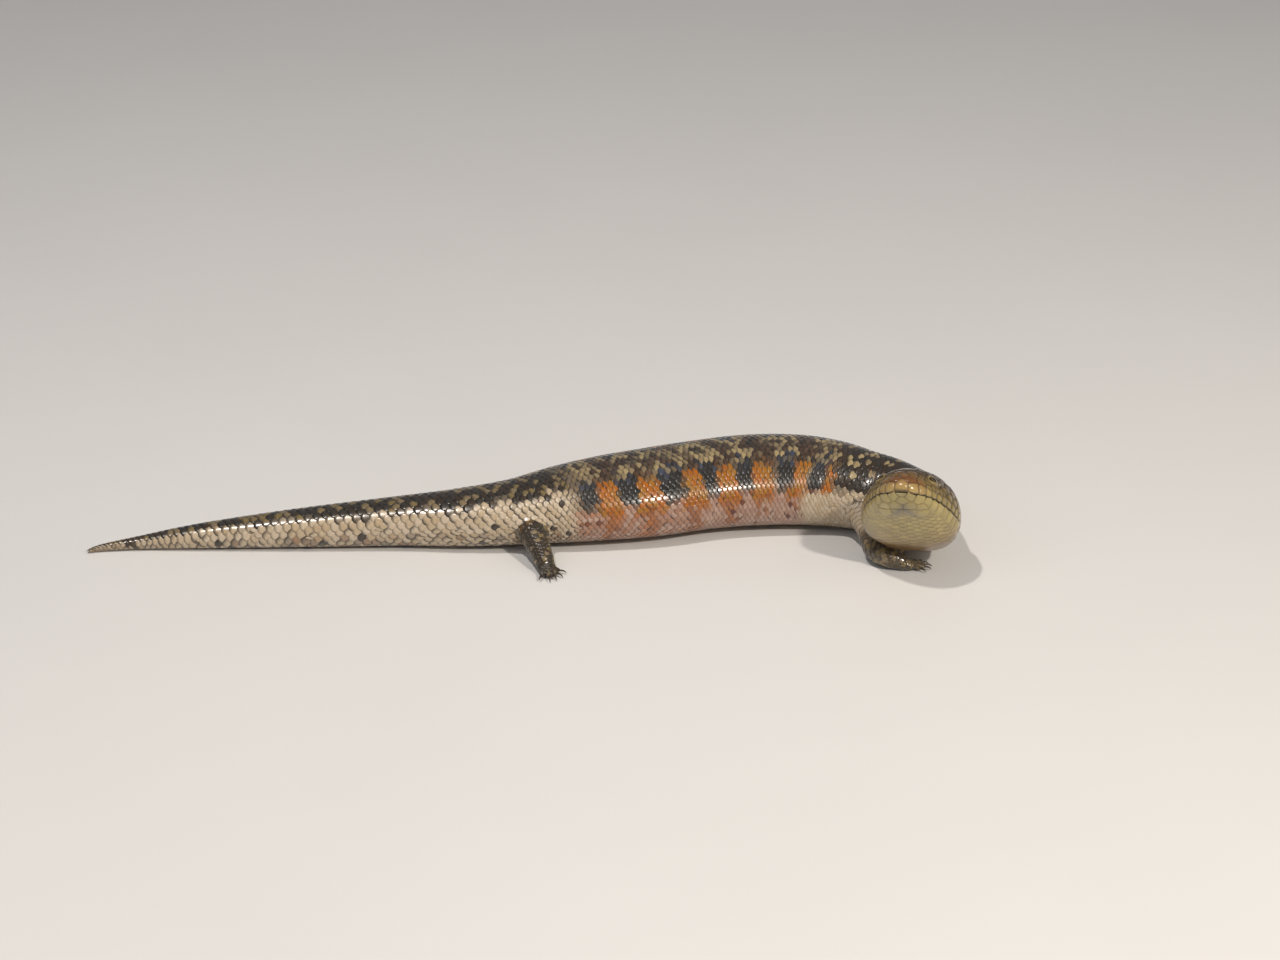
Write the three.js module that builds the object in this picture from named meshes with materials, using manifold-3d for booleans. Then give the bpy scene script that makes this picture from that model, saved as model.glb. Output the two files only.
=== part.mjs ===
// A life-size blue-tongued skink lying on its belly, its neck bent round to the right and its head raised.
// Millimetres, +Z up, +X along the body towards the shoulders, +Y to the animal's left.
// The origin is on the ground, under the middle of the whole animal.
import * as THREE from "three";
import { mergeVertices } from "three/addons/utils/BufferGeometryUtils.js";
import Module from "manifold-3d";

const wasm = await Module();
wasm.setup();

// Driving dimensions. The body is drawn about a point near its middle, and ORIGIN moves it over the origin.
const GAP = 0.3; // between neighbouring pieces
const HALF_GAP = GAP / 2;
const SLIVER = 0.02; // edges shorter than this are closed up after cuts
const ORIGIN = new THREE.Vector3(-58.1, -12, 0);
const UP = new THREE.Vector3(0, 0, 1);

const HEAD = {
  snout: new THREE.Vector3(120.6, -81.6, 56.1), // front of the mouth line
  pitch: 34, // degrees the snout points up
  yaw: 16, // degrees past square with the trunk
  roll: -4.5, // degrees the left side is lower
};
// Places on the head are measured behind the snout and above the front of the mouth line.
const EYE = { behind: 15.6, above: 8.5, radius: 3.8, sunk: 2.3 };
const LID = { radius: 3.3, thick: 0.95, long: 1.12, high: 0.86 };
const NOSTRIL = { behind: 4.4, above: 7.6, radius: 0.75, deep: 2 };
const EAR = { behind: 51.5, above: 1.6, long: 1.8, high: 3, deep: 3, drum: 1 };
const MOUTH = { corner: 37, drop: 8.2, dropFrom: 4, dropTo: 43, steps: 12 };
const OVERBITE = { size: 1.4, depth: 1.6, length: 22 }; // full at this depth, none from this length on
const LIP = { radius: 1.15, apart: 1.45, sunk: 0.5 };
const JAW_CUT = { length: 90, ahead: 8, width: 80, deep: 60, steps: 18 }; // reaches past the whole head
const TOE = { sole: 2.1, knuckle: 2, bend: 1.75, end: 1.35, root: 2.2 }; // radii, then its root's distance
const CLAW = { length: 3.4, radius: 0.75, tip: 0.2, sunk: 1.4 };

const MATERIALS = {
  back: { color: 0x6b5a41, roughness: 0.38, metalness: 0 },
  tail: { color: 0x8f7f6a, roughness: 0.36, metalness: 0 },
  head: { color: 0x8a7347, roughness: 0.42, metalness: 0 },
  throat: { color: 0xa89b74, roughness: 0.45, metalness: 0 },
  leg: { color: 0x4a463c, roughness: 0.45, metalness: 0 },
  eye: { color: 0x2c2016, roughness: 0.08, metalness: 0 },
};

// Axes of the head: forward out of the snout, to its left, and up through its crown.
function headAxes() {
  const pitch = THREE.MathUtils.degToRad(HEAD.pitch);
  const yaw = THREE.MathUtils.degToRad(HEAD.yaw);
  const flat = Math.cos(pitch);
  const forward = new THREE.Vector3(-Math.sin(yaw) * flat, -Math.cos(yaw) * flat, Math.sin(pitch));
  const left = new THREE.Vector3(Math.cos(yaw), -Math.sin(yaw), 0);
  left.applyAxisAngle(forward, THREE.MathUtils.degToRad(-HEAD.roll));
  const up = new THREE.Vector3().crossVectors(forward, left);
  return { forward, left, up };
}
const HEAD_AXES = headAxes();

// A point of the head, from its distance behind the snout, and to the left and above the mouth line.
function headPoint(behind, left, above) {
  return HEAD.snout
    .clone()
    .addScaledVector(HEAD_AXES.forward, -behind)
    .addScaledVector(HEAD_AXES.left, left)
    .addScaledVector(HEAD_AXES.up, above);
}

// A section of the body or of a limb: where its axis is, its half width, and how far it reaches above and
// below the axis. A fullness of 2 makes an ellipse, and more makes it squarer.
function landmark(x, y, z, half, above, below = above, fullAbove = 2.2, fullBelow = 2.4) {
  return [x, y, z, half, above, below, fullAbove, fullBelow];
}

const round = (x, y, z, radius) => landmark(x, y, z, radius, radius, radius, 2, 2);

// The axis of the head's sections lies lower than the mouth line where the jowls are widest.
function headLandmark(behind, half, above, below, drop) {
  const { x, y, z } = headPoint(behind, 0, -drop);
  return landmark(x, y, z, half, above, below, 2, 2.8);
}

// The body from the tip of the tail to the snout.
const BODY = [
  round(-268.5, -34.5, 0.9, 0.9),
  round(-262, -32, 1.8, 1.95),
  landmark(-243, -28.9, 3.1, 3.8, 3.6, 3.2),
  landmark(-214, -26.7, 5.5, 6.8, 6.4, 5.7),
  landmark(-166, -23.7, 8.4, 10.6, 9.6, 8.7),
  landmark(-117, -20.8, 10.6, 13.6, 12.2, 11),
  landmark(-88, -20, 12.1, 16.6, 13.9, 12.5),
  landmark(-62, -16.6, 13.2, 20.5, 15.3, 13.7),
  landmark(-39, -11.8, 15.1, 24.6, 17.4, 15.6),
  landmark(-18, -7.6, 16.4, 27.3, 18.9, 17),
  landmark(5, -2.6, 17.2, 28.8, 19.8, 17.9),
  landmark(30, 5.2, 17.4, 29.1, 20.1, 18.1),
  landmark(54, 9.4, 18, 29.6, 20.6, 18.7),
  landmark(77, 9.4, 18.2, 28.6, 20.8, 18.8),
  landmark(94, 5.6, 18.2, 25.8, 20.4, 18.8),
  landmark(109, -1, 18.6, 21.5, 19, 18.8),
  landmark(122.3, -6.4, 18.6, 17.2, 17.6, 18.2),
  landmark(133.2, -19.8, 19, 16.6, 16.8, 17.8),
  headLandmark(56, 19.2, 18.6, 15.6, 4.2),
  headLandmark(46, 22.6, 21.6, 14.8, 5.6),
  headLandmark(36, 23.8, 22.4, 13.4, 5.8),
  headLandmark(27, 22, 20.4, 10.4, 4.6),
  headLandmark(19, 18.8, 17.2, 7.8, 2.6),
  headLandmark(12, 15.2, 13.2, 6.4, 1),
  headLandmark(6, 11.4, 9, 5.4, -0.4),
  headLandmark(2, 7.2, 5.2, 4, -1.8),
  headLandmark(0.2, 3.8, 2.8, 2.2, -2.6),
  headLandmark(-0.4, 1, 0.8, 0.7, -2.9),
];
const HEAD_FIRST = 18; // the landmark at the back of the head
const SNOUT = BODY.length - 1;
const HIPS = 6; // the landmark behind the hips
const HEAD_TUBE = { from: HEAD_FIRST, to: SNOUT, rings: 28, sides: 32 };

// Lengths of the tail, trunk and neck, by the landmarks where they are cut square to the axis.
const LENGTHS = [
  { name: "tail_tip", from: 0, to: 3.4, rings: 10, sides: 16, finish: "tail" },
  { name: "tail_middle", from: 3.4, to: 5.2, rings: 7, sides: 20, finish: "tail" },
  { name: "tail_base", from: 5.2, to: 6.8, rings: 7, sides: 24, finish: "tail" },
  { name: "torso_rear", from: 6.8, to: 9.2, rings: 10, sides: 32, finish: "back" },
  { name: "torso_middle", from: 9.2, to: 12, rings: 10, sides: 32, finish: "back" },
  { name: "torso_front", from: 12, to: 15, rings: 12, sides: 32, finish: "back" },
  { name: "neck", from: 15, to: HEAD_FIRST, rings: 14, sides: 32, finish: "back" },
];

// Each leg from inside the trunk to the wrist or ankle, and the way that its foot points.
const LEGS = [
  {
    name: "front_right",
    limb: [round(104, -12, 16, 9), round(110.5, -27, 13, 7.6), round(112.5, -37, 9.8, 7)],
    shank: [round(114, -44, 7.4, 6.5), round(118.5, -48.6, 6, 5.7), round(124.5, -50.2, 4.4, 4.7)],
    foot: { heading: 2, length: 6.5, fan: [36, 18, 2, -14, -34], toes: [4.4, 5.6, 6.4, 6, 4.6] },
    side: -1,
  },
  {
    name: "front_left",
    limb: [round(98, 8, 16, 9), round(98.5, 24, 13.5, 8), round(99.5, 35, 9.8, 7.2)],
    shank: [round(102.5, 42, 7.4, 6.5), round(108.5, 46, 6, 5.7), round(115, 48, 4.4, 4.7)],
    foot: { heading: 14, length: 6.5, fan: [44, 21, 2, -18, -44], toes: [4.6, 6.4, 7.4, 7, 5] },
    side: 1,
  },
  {
    name: "hind_right",
    limb: [round(-62, -14, 14, 11), round(-56.5, -28, 13, 8.8), round(-51.8, -36.5, 12, 7.5)],
    shank: [round(-49.8, -42, 10, 6.5), round(-47.4, -48, 7.2, 5.6), round(-45.8, -52.4, 5, 5.1)],
    foot: { heading: -66, length: 4.5, fan: [58, 30, 6, -14, -44], toes: [4.2, 4.4, 4.8, 5.2, 4.6] },
    side: -1,
  },
  {
    name: "hind_left",
    limb: [round(-64, -16, 14, 11), round(-59, 0, 13.2, 9.4), round(-53, 10, 12.2, 7.8)],
    shank: [round(-49, 16, 10.2, 6.6), round(-44, 22.5, 7.2, 5.6), round(-39.5, 27.5, 5, 5.1)],
    foot: { heading: 42, length: 7, fan: [50, 27, 6, -14, -44], toes: [4.6, 6, 7.6, 8.8, 6] },
    side: 1,
  },
];

// Uniform Catmull-Rom through the landmarks, and its rate of change.
function along(landmarks, at) {
  const last = landmarks.length - 1;
  const i = Math.min(Math.max(Math.floor(at), 0), last - 1);
  const t = at - i;
  const [a, b, c, d] = [i - 1, i, i + 1, i + 2].map((k) => landmarks[Math.min(Math.max(k, 0), last)]);
  const value = b.map((q, k) => {
    const [p, r, s] = [a[k], c[k], d[k]];
    return q + 0.5 * t * (r - p + t * (2 * p - 5 * q + 4 * r - s + t * (3 * (q - r) + s - p)));
  });
  const rate = [0, 1, 2].map((k) => {
    const [p, q, r, s] = [a[k], b[k], c[k], d[k]];
    return 0.5 * (r - p + 2 * t * (2 * p - 5 * q + 4 * r - s) + 3 * t * t * (3 * (q - r) + s - p));
  });
  return { value, rate: new THREE.Vector3(...rate) };
}

// The axes of a section. Over the neck they turn into the head's.
function sectionAxes(landmarks, at) {
  const forward = along(landmarks, at).rate.normalize();
  const share = landmarks === BODY ? THREE.MathUtils.smoothstep(at, HEAD_FIRST - 1, HEAD_FIRST) : 0;
  forward.lerp(HEAD_AXES.forward, share).normalize();
  const left = new THREE.Vector3().crossVectors(UP, forward).normalize();
  left.applyAxisAngle(forward, THREE.MathUtils.degToRad(-HEAD.roll * share));
  const up = new THREE.Vector3().crossVectors(forward, left);
  return { forward, left, up };
}

const signedPower = (v, power) => Math.sign(v) * Math.abs(v) ** power;

const overbiteAt = (behind) => OVERBITE.size * (1 - THREE.MathUtils.smoothstep(behind, 0, OVERBITE.length));

// The lower jaw's front stays a little behind the upper lip.
function setBack(point) {
  const offset = point.clone().sub(HEAD.snout);
  const behind = -offset.dot(HEAD_AXES.forward);
  const below = -offset.dot(HEAD_AXES.up);
  const share = THREE.MathUtils.smoothstep(below, 0, OVERBITE.depth);
  return point.addScaledVector(HEAD_AXES.forward, -overbiteAt(behind) * share);
}

// A point of the skin: angle 0 is the middle of the back and a quarter turn is the left flank.
function skinPoint(landmarks, at, angle, share = 1, swell = 0) {
  const [x, y, z, half, above, below, fullAbove, fullBelow] = along(landmarks, at).value;
  const { left, up } = sectionAxes(landmarks, at);
  const rise = Math.cos(angle);
  const power = 2 / (rise > 0 ? fullAbove : fullBelow);
  const height = (rise > 0 ? above : below) + swell;
  const point = new THREE.Vector3(x, y, z)
    .addScaledVector(left, share * (half + swell) * signedPower(Math.sin(angle), power))
    .addScaledVector(up, share * height * signedPower(rise, power));
  if (landmarks === BODY && at > HEAD_FIRST) setBack(point);
  point.z = Math.max(point.z, -swell);
  return point;
}

// A closed tube over the landmarks, with flat ends.
function tube(landmarks, from, to, rings, sides, swell = 0) {
  const geometry = new THREE.CylinderGeometry(1, 1, 1, sides, rings);
  const place = geometry.getAttribute("position");
  for (let i = 0; i < place.count; i++) {
    const at = from + (place.getY(i) + 0.5) * (to - from);
    const share = Math.min(1, Math.hypot(place.getX(i), place.getZ(i)));
    const angle = Math.atan2(place.getZ(i), place.getX(i));
    place.setXYZ(i, ...skinPoint(landmarks, at, angle, share, swell));
  }
  return geometry;
}

function solid(geometry) {
  const bare = new THREE.BufferGeometry();
  bare.setAttribute("position", geometry.getAttribute("position"));
  bare.setIndex(geometry.index);
  const merged = mergeVertices(bare, 1e-4);
  return new wasm.Manifold(
    new wasm.Mesh({
      numProp: 3,
      vertProperties: new Float32Array(merged.attributes.position.array),
      triVerts: new Uint32Array(merged.index.array),
    }),
  );
}

const joined = (solids) => solids.reduce((all, one) => all.add(one));
const without = (whole, cutters) => cutters.reduce((rest, cutter) => rest.subtract(cutter), whole);

// The largest closed surface of a solid.
function largest(made) {
  return made.decompose().reduce((best, one) => (one.volume() > best.volume() ? one : best));
}

// A named mesh of a solid, its geometry about its own middle and placed there by its position.
function meshOf(name, made, finish) {
  const clean = largest(made).asOriginal().simplify(SLIVER);
  const { numProp, numVert, vertProperties, triVerts } = clean.getMesh();
  const place = new Float32Array(numVert * 3);
  for (let i = 0; i < numVert; i++) {
    place.set(vertProperties.subarray(i * numProp, i * numProp + 3), i * 3);
  }
  const geometry = new THREE.BufferGeometry();
  geometry.setAttribute("position", new THREE.BufferAttribute(place, 3));
  geometry.setIndex(new THREE.BufferAttribute(new Uint32Array(triVerts), 1));
  geometry.computeBoundingBox();
  const middle = geometry.boundingBox.getCenter(new THREE.Vector3());
  geometry.translate(-middle.x, -middle.y, -middle.z);
  geometry.computeVertexNormals();
  const mesh = new THREE.Mesh(geometry, new THREE.MeshStandardMaterial(MATERIALS[finish]));
  mesh.name = name;
  mesh.position.copy(middle);
  return mesh;
}

// Steps along the landmarks that a distance in millimetres takes.
const stepsFor = (landmarks, at, distance) => distance / along(landmarks, at).rate.length();

// Where a length starts and ends, with half of the gap left at each cut.
function endsOf(from, to) {
  const first = from === 0 ? 0 : from + stepsFor(BODY, from, HALF_GAP);
  const final = to === SNOUT ? SNOUT : to - stepsFor(BODY, to, HALF_GAP);
  return { first, final };
}

function lengthSolid({ from, to, rings, sides }) {
  const { first, final } = endsOf(from, to);
  return solid(tube(BODY, first, final, rings, sides));
}

const bodyLengths = () => LENGTHS.map((length) => meshOf(length.name, lengthSolid(length), length.finish));

// The mouth line drops from the snout to the corner of the jaw.
const mouthRise = (behind) => -MOUTH.drop * THREE.MathUtils.smoothstep(behind, MOUTH.dropFrom, MOUTH.dropTo);

// The place along the landmarks at a distance behind the snout, by halving.
function headPlace(behind) {
  let low = HEAD_FIRST - 0.5;
  let high = SNOUT;
  for (let i = 0; i < 30; i++) {
    const middle = (low + high) / 2;
    const [x, y, z] = along(BODY, middle).value;
    const back = -new THREE.Vector3(x, y, z).sub(HEAD.snout).dot(HEAD_AXES.forward);
    if (back > behind) low = middle;
    else high = middle;
  }
  return (low + high) / 2;
}

// Half the width of the head at a distance behind the snout and a height above the mouth line's front.
function halfWidth(behind, rise) {
  const [x, y, z, half, above, below, fullAbove, fullBelow] = along(BODY, headPlace(behind)).value;
  const axis = new THREE.Vector3(x, y, z).sub(HEAD.snout).dot(HEAD_AXES.up);
  const height = rise > axis ? above : below;
  const fullness = rise > axis ? fullAbove : fullBelow;
  const share = Math.min(1, Math.abs(rise - axis) / height);
  return half * (1 - share ** fullness) ** (1 / fullness);
}

// A point of the head's skin at one side, side being 1 on the left and -1 on the right.
const headSkin = (behind, rise, side) => headPoint(behind, side * halfWidth(behind, rise), rise);

// A matrix that puts +Z out of the skin, +X backwards along the head, and a sunk origin.
function outOfSkin(behind, rise, side, sunk) {
  const step = 0.5;
  const here = headSkin(behind, rise, side);
  const back = headSkin(behind + step, rise, side).sub(here);
  const raised = headSkin(behind, rise + step, side).sub(here);
  const out = new THREE.Vector3().crossVectors(back, raised).multiplyScalar(side).normalize();
  back.addScaledVector(out, -back.dot(out)).normalize();
  const upward = new THREE.Vector3().crossVectors(out, back);
  const place = here.addScaledVector(out, -sunk);
  return new THREE.Matrix4().makeBasis(back, upward, out).setPosition(place);
}

// A rod of round section along a curve, which starts and ends flat.
function rod(points, radius, steps, sides) {
  const ring = new THREE.Shape().absarc(0, 0, radius, 0, 2 * Math.PI, false);
  return new THREE.ExtrudeGeometry(ring, {
    steps,
    curveSegments: sides,
    extrudePath: new THREE.CatmullRomCurve3(points),
  });
}

// How far behind the snout's front the skin begins at a height.
function skinFront(rise) {
  let [near, far] = [0, 8];
  for (let i = 0; i < 20; i++) {
    const middle = (near + far) / 2;
    if (halfWidth(middle, rise) > 0) far = middle;
    else near = middle;
  }
  return far;
}

// The mouth line from the right corner round the snout to the left one, raised and sunk under the skin.
function mouthCurve(raised, sunk) {
  const front = skinFront(raised);
  const points = [];
  for (let i = -MOUTH.steps; i <= MOUTH.steps; i++) {
    const share = Math.abs(i) / MOUTH.steps;
    const behind = front + (MOUTH.corner - front) * share ** 1.8;
    const rise = mouthRise(behind) + raised;
    const half = i === 0 ? 0 : halfWidth(behind, rise) - sunk * share;
    const overbite = raised < 0 ? overbiteAt(behind) : 0;
    points.push(headPoint(behind + sunk * (1 - share) + overbite, Math.sign(i) * half, rise));
  }
  return points;
}

const lip = (raised) => solid(rod(mouthCurve(raised, LIP.sunk), LIP.radius, 2 * MOUTH.steps, 4));

// A thick sheet on one side of the mouth line, over the whole head: side is 1 above the line, -1 below.
function besideMouth(side) {
  const { length, ahead, width, deep, steps } = JAW_CUT;
  const geometry = new THREE.BoxGeometry(length, width, deep, steps, 1, 1);
  geometry.translate(ahead - length / 2, 0, side * (deep / 2 - HALF_GAP));
  const place = geometry.getAttribute("position");
  for (let i = 0; i < place.count; i++) {
    const behind = -place.getX(i);
    place.setXYZ(i, ...headPoint(behind, place.getY(i), place.getZ(i) + mouthRise(behind)));
  }
  return solid(geometry);
}

function eyeball(side, swell) {
  const ball = new THREE.SphereGeometry(EYE.radius + swell, 16, 10);
  return solid(ball.applyMatrix4(outOfSkin(EYE.behind, EYE.above, side, EYE.sunk)));
}

function lids(side) {
  const ring = new THREE.TorusGeometry(LID.radius, LID.thick, 6, 18);
  ring.scale(LID.long, LID.high, 1);
  return solid(ring.applyMatrix4(outOfSkin(EYE.behind, EYE.above, side, 0)));
}

// A short upright cylinder whose outer end is at a depth under the skin.
function plug(across, high, length, place) {
  const geometry = new THREE.CylinderGeometry(1, 1, length, 14, 1);
  geometry.rotateX(Math.PI / 2);
  geometry.scale(across, high, 1);
  return solid(geometry.applyMatrix4(place));
}

const nostril = (side) =>
  plug(NOSTRIL.radius, NOSTRIL.radius, 2 * NOSTRIL.deep, outOfSkin(NOSTRIL.behind, NOSTRIL.above, side, 0));

const earCup = (side) => plug(EAR.long, EAR.high, 2 * EAR.deep, outOfSkin(EAR.behind, EAR.above, side, 0));

function eardrum(side) {
  const middle = EAR.deep - GAP - EAR.drum / 2;
  return plug(EAR.long - GAP, EAR.high - GAP, EAR.drum, outOfSkin(EAR.behind, EAR.above, side, middle));
}

function headPieces() {
  const whole = lengthSolid(HEAD_TUBE);
  const sides = [-1, 1];
  const crown = joined([whole, lip(LIP.apart), ...sides.map(lids)]);
  const openings = sides.flatMap((side) => [eyeball(side, GAP), nostril(side), earCup(side)]);
  const upper = without(crown, [...openings, besideMouth(-1)]);
  const lower = without(joined([whole, lip(-LIP.apart)]), [besideMouth(1)]);
  return [
    meshOf("head", upper, "head"),
    meshOf("lower_jaw", lower, "throat"),
    meshOf("eye_right", eyeball(-1, 0), "eye"),
    meshOf("eye_left", eyeball(1, 0), "eye"),
    meshOf("ear_right", eardrum(-1), "head"),
    meshOf("ear_left", eardrum(1), "head"),
  ];
}

// A point on the ground plane's compass from a place, at a height.
function outFrom(place, degrees, distance, z) {
  const angle = THREE.MathUtils.degToRad(degrees);
  return [place[0] + Math.cos(angle) * distance, place[1] + Math.sin(angle) * distance, z];
}

// A toe with its claw, from the middle of the sole.
function toe(sole, degrees, reach, length) {
  const path = [
    round(...sole, TOE.sole),
    round(...outFrom(sole, degrees, reach, 2.6), TOE.knuckle),
    round(...outFrom(sole, degrees, reach + length * 0.5, 2.5), TOE.bend),
    round(...outFrom(sole, degrees, reach + length, 1.7), TOE.end),
  ];
  const nail = [
    round(...outFrom(sole, degrees, reach + length - CLAW.sunk, 1.9), CLAW.radius),
    round(...outFrom(sole, degrees, reach + length + CLAW.length * 0.45, 2), CLAW.radius * 0.8),
    round(...outFrom(sole, degrees, reach + length + CLAW.length, 0.4), CLAW.tip),
  ];
  return solid(tube(path, 0, 3, 4, 7)).add(solid(tube(nail, 0, 2, 3, 5)));
}

function footSolid({ shank, foot, side }) {
  const [x, y, z] = shank.at(-1);
  const sole = outFrom([x, y], foot.heading, foot.length * 0.6, 2.3);
  const palm = [
    shank.at(-1),
    landmark(...outFrom([x, y], foot.heading, foot.length * 0.35, z * 0.75), 4.9, 3.6, 3.6, 2, 2),
    landmark(...outFrom([x, y], foot.heading, foot.length * 0.8, 2.5), 4.7, 2.6, 2.6, 2, 2),
    landmark(...outFrom([x, y], foot.heading, foot.length * 1.15, 2.2), 3, 1.9, 1.9, 2, 2),
  ];
  const toes = foot.fan.map((turn, i) => toe(sole, foot.heading - side * turn, TOE.root, foot.toes[i]));
  return joined([solid(tube(palm, 0, 3, 5, 12)), ...toes]);
}

// The upper leg, shank and foot of one leg, cut apart square to the leg and clear of the trunk and neck.
function legPieces(leg, flesh) {
  const whole = [...leg.limb, ...leg.shank];
  const knee = leg.limb.length - 0.5;
  const ankle = whole.length - 1;
  const gapAt = (at) => stepsFor(whole, at, HALF_GAP);
  const upper = solid(tube(whole, 0, knee - gapAt(knee), 7, 14));
  const shank = solid(tube(whole, knee + gapAt(knee), ankle - gapAt(ankle), 7, 14));
  const swollenShank = solid(tube(whole, knee, ankle, 7, 14, GAP));
  return [
    meshOf(`${leg.name}_upper_leg`, without(upper, flesh), "leg"),
    meshOf(`${leg.name}_lower_leg`, without(shank, flesh), "leg"),
    meshOf(`${leg.name}_foot`, without(footSolid(leg), [swollenShank, ...flesh]), "leg"),
  ];
}

// The trunk, neck and head, swollen by the gap, to cut the legs clear of them.
function swollenFlesh() {
  const trunk = LENGTHS.filter(({ to }) => to > HIPS);
  return [...trunk, HEAD_TUBE].map(({ from, to, rings, sides }) => {
    const { first, final } = endsOf(from, to);
    const [more, after] = [first, final].map((at) => stepsFor(BODY, at, GAP));
    return solid(tube(BODY, first - more, Math.min(final + after, SNOUT), rings, sides, GAP));
  });
}

const skink = new THREE.Group();
const flesh = swollenFlesh();
skink.add(...bodyLengths(), ...headPieces(), ...LEGS.flatMap((leg) => legPieces(leg, flesh)));
skink.position.sub(ORIGIN);

export default skink;
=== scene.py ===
"""A life-size blue-tongued skink: one skin, its overlapping scales, head shields, lids, eyes and claws."""

from __future__ import annotations

import logging
import math
from collections.abc import Callable, Iterable
from dataclasses import dataclass, field
from enum import Enum

import bmesh
import bpy
import numpy as np
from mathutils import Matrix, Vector
from mathutils.bvhtree import BVHTree
from mathutils.kdtree import KDTree


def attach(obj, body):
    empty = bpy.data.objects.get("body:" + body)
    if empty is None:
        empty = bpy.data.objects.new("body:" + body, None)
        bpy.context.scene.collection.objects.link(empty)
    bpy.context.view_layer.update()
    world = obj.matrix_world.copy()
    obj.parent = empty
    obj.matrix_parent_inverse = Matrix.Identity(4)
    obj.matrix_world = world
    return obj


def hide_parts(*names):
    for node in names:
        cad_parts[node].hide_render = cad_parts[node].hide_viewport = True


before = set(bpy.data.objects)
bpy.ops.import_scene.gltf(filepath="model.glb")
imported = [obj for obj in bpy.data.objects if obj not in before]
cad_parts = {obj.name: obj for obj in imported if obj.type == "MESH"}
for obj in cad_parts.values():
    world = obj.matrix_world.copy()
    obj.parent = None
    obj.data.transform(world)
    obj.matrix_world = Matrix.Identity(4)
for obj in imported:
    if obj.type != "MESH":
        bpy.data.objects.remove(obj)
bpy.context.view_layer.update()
LOG = logging.getLogger("skink")

MM = 0.001
ORIGIN = np.array([-58.1, -12.0, 0.0])  # the part's origin in the drawing
SUNK = 0.45  # how deep the skin lies under the tops of the scales
UP = np.array([0.0, 0.0, 1.0])


class Side(Enum):
    """The animal's own sides, with their signs."""

    RIGHT = -1
    LEFT = 1


def smooth(value: np.ndarray, low: float, high: float) -> np.ndarray:
    """A ramp from 0 at low to 1 at high, flat at both ends."""
    t = np.clip((np.asarray(value, float) - low) / (high - low), 0, 1)
    return t * t * (3 - 2 * t)


def unit(vectors: np.ndarray) -> np.ndarray:
    """The vectors at length one."""
    length = np.linalg.norm(vectors, axis=-1, keepdims=True)
    return vectors / np.maximum(length, 1e-12)


def colour(code: str) -> np.ndarray:
    """A linear colour from a six-digit hex code."""
    value = np.array([int(code[i : i + 2], 16) for i in (0, 2, 4)]) / 255
    return np.where(value <= 0.04045, value / 12.92, ((value + 0.055) / 1.055) ** 2.4)


def mixed(first: np.ndarray, second: np.ndarray, share: np.ndarray) -> np.ndarray:
    """first where share is 0 and second where it is 1."""
    return first + (second - first) * np.asarray(share)[..., None]


def to_metres(points: np.ndarray) -> np.ndarray:
    """Millimetres in the drawing's frame, as metres in the part's."""
    return (points - ORIGIN) * MM


def places_of(vertices: Iterable) -> np.ndarray:
    """The places of a mesh's points, in millimetres of the drawing's frame."""
    return np.array([vert.co for vert in vertices]) / MM + ORIGIN


def finder_of(spots: np.ndarray) -> KDTree:
    """A finder of the nearest of many spots."""
    finder = KDTree(len(spots))
    for number, spot in enumerate(spots):
        finder.insert(spot, number)
    finder.balance()
    return finder


@dataclass(frozen=True)
class HeadPose:
    """How the head is held: the front of its mouth line, and its turns in degrees."""

    snout: tuple[float, float, float] = (120.6, -81.6, 56.1)
    pitch: float = 34.0
    yaw: float = 16.0
    roll: float = -4.5

    def axes(self) -> np.ndarray:
        """Forward out of the snout, to the left, and up through the crown."""
        pitch, yaw, roll = (math.radians(v) for v in (self.pitch, self.yaw, -self.roll))
        flat = math.cos(pitch)
        forward = np.array([-math.sin(yaw) * flat, -math.cos(yaw) * flat, math.sin(pitch)])
        level = np.array([math.cos(yaw), -math.sin(yaw), 0])
        left = level * math.cos(roll) + np.cross(forward, level) * math.sin(roll)
        return np.array([forward, left, np.cross(forward, left)])

    def place(self, behind: np.ndarray, left: np.ndarray, above: np.ndarray) -> np.ndarray:
        """The point at these distances behind, left of and above the front of the mouth line."""
        forward, side, crown = self.axes()
        parts = [np.asarray(v, float)[..., None] for v in (behind, left, above)]
        return np.array(self.snout) - forward * parts[0] + side * parts[1] + crown * parts[2]

    def measure(self, points: np.ndarray) -> np.ndarray:
        """Distances behind, left of and above the front of the mouth line."""
        turned = (points - np.array(self.snout)) @ self.axes().T
        return turned * np.array([-1, 1, 1])


HEAD = HeadPose()
OVERBITE = (1.4, 1.6, 22.0)  # its size, its depth, and how far back it is gone


def landmark(x, y, z, half, above, below=None, full_above=2.2, full_below=2.4) -> list[float]:
    """A section of the body: its place, half width, reach above and below, and how square it is."""
    return [x, y, z, half, above, above if below is None else below, full_above, full_below]


def disc(x: float, y: float, z: float, radius: float) -> list[float]:
    """A round section."""
    return landmark(x, y, z, radius, radius, radius, 2, 2)


def head_landmark(behind: float, half: float, above: float, below: float, drop: float) -> list[float]:
    """A section of the head, its axis dropped below the mouth line."""
    return landmark(*HEAD.place(behind, 0, -drop), half, above, below, 2, 2.8)


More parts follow.
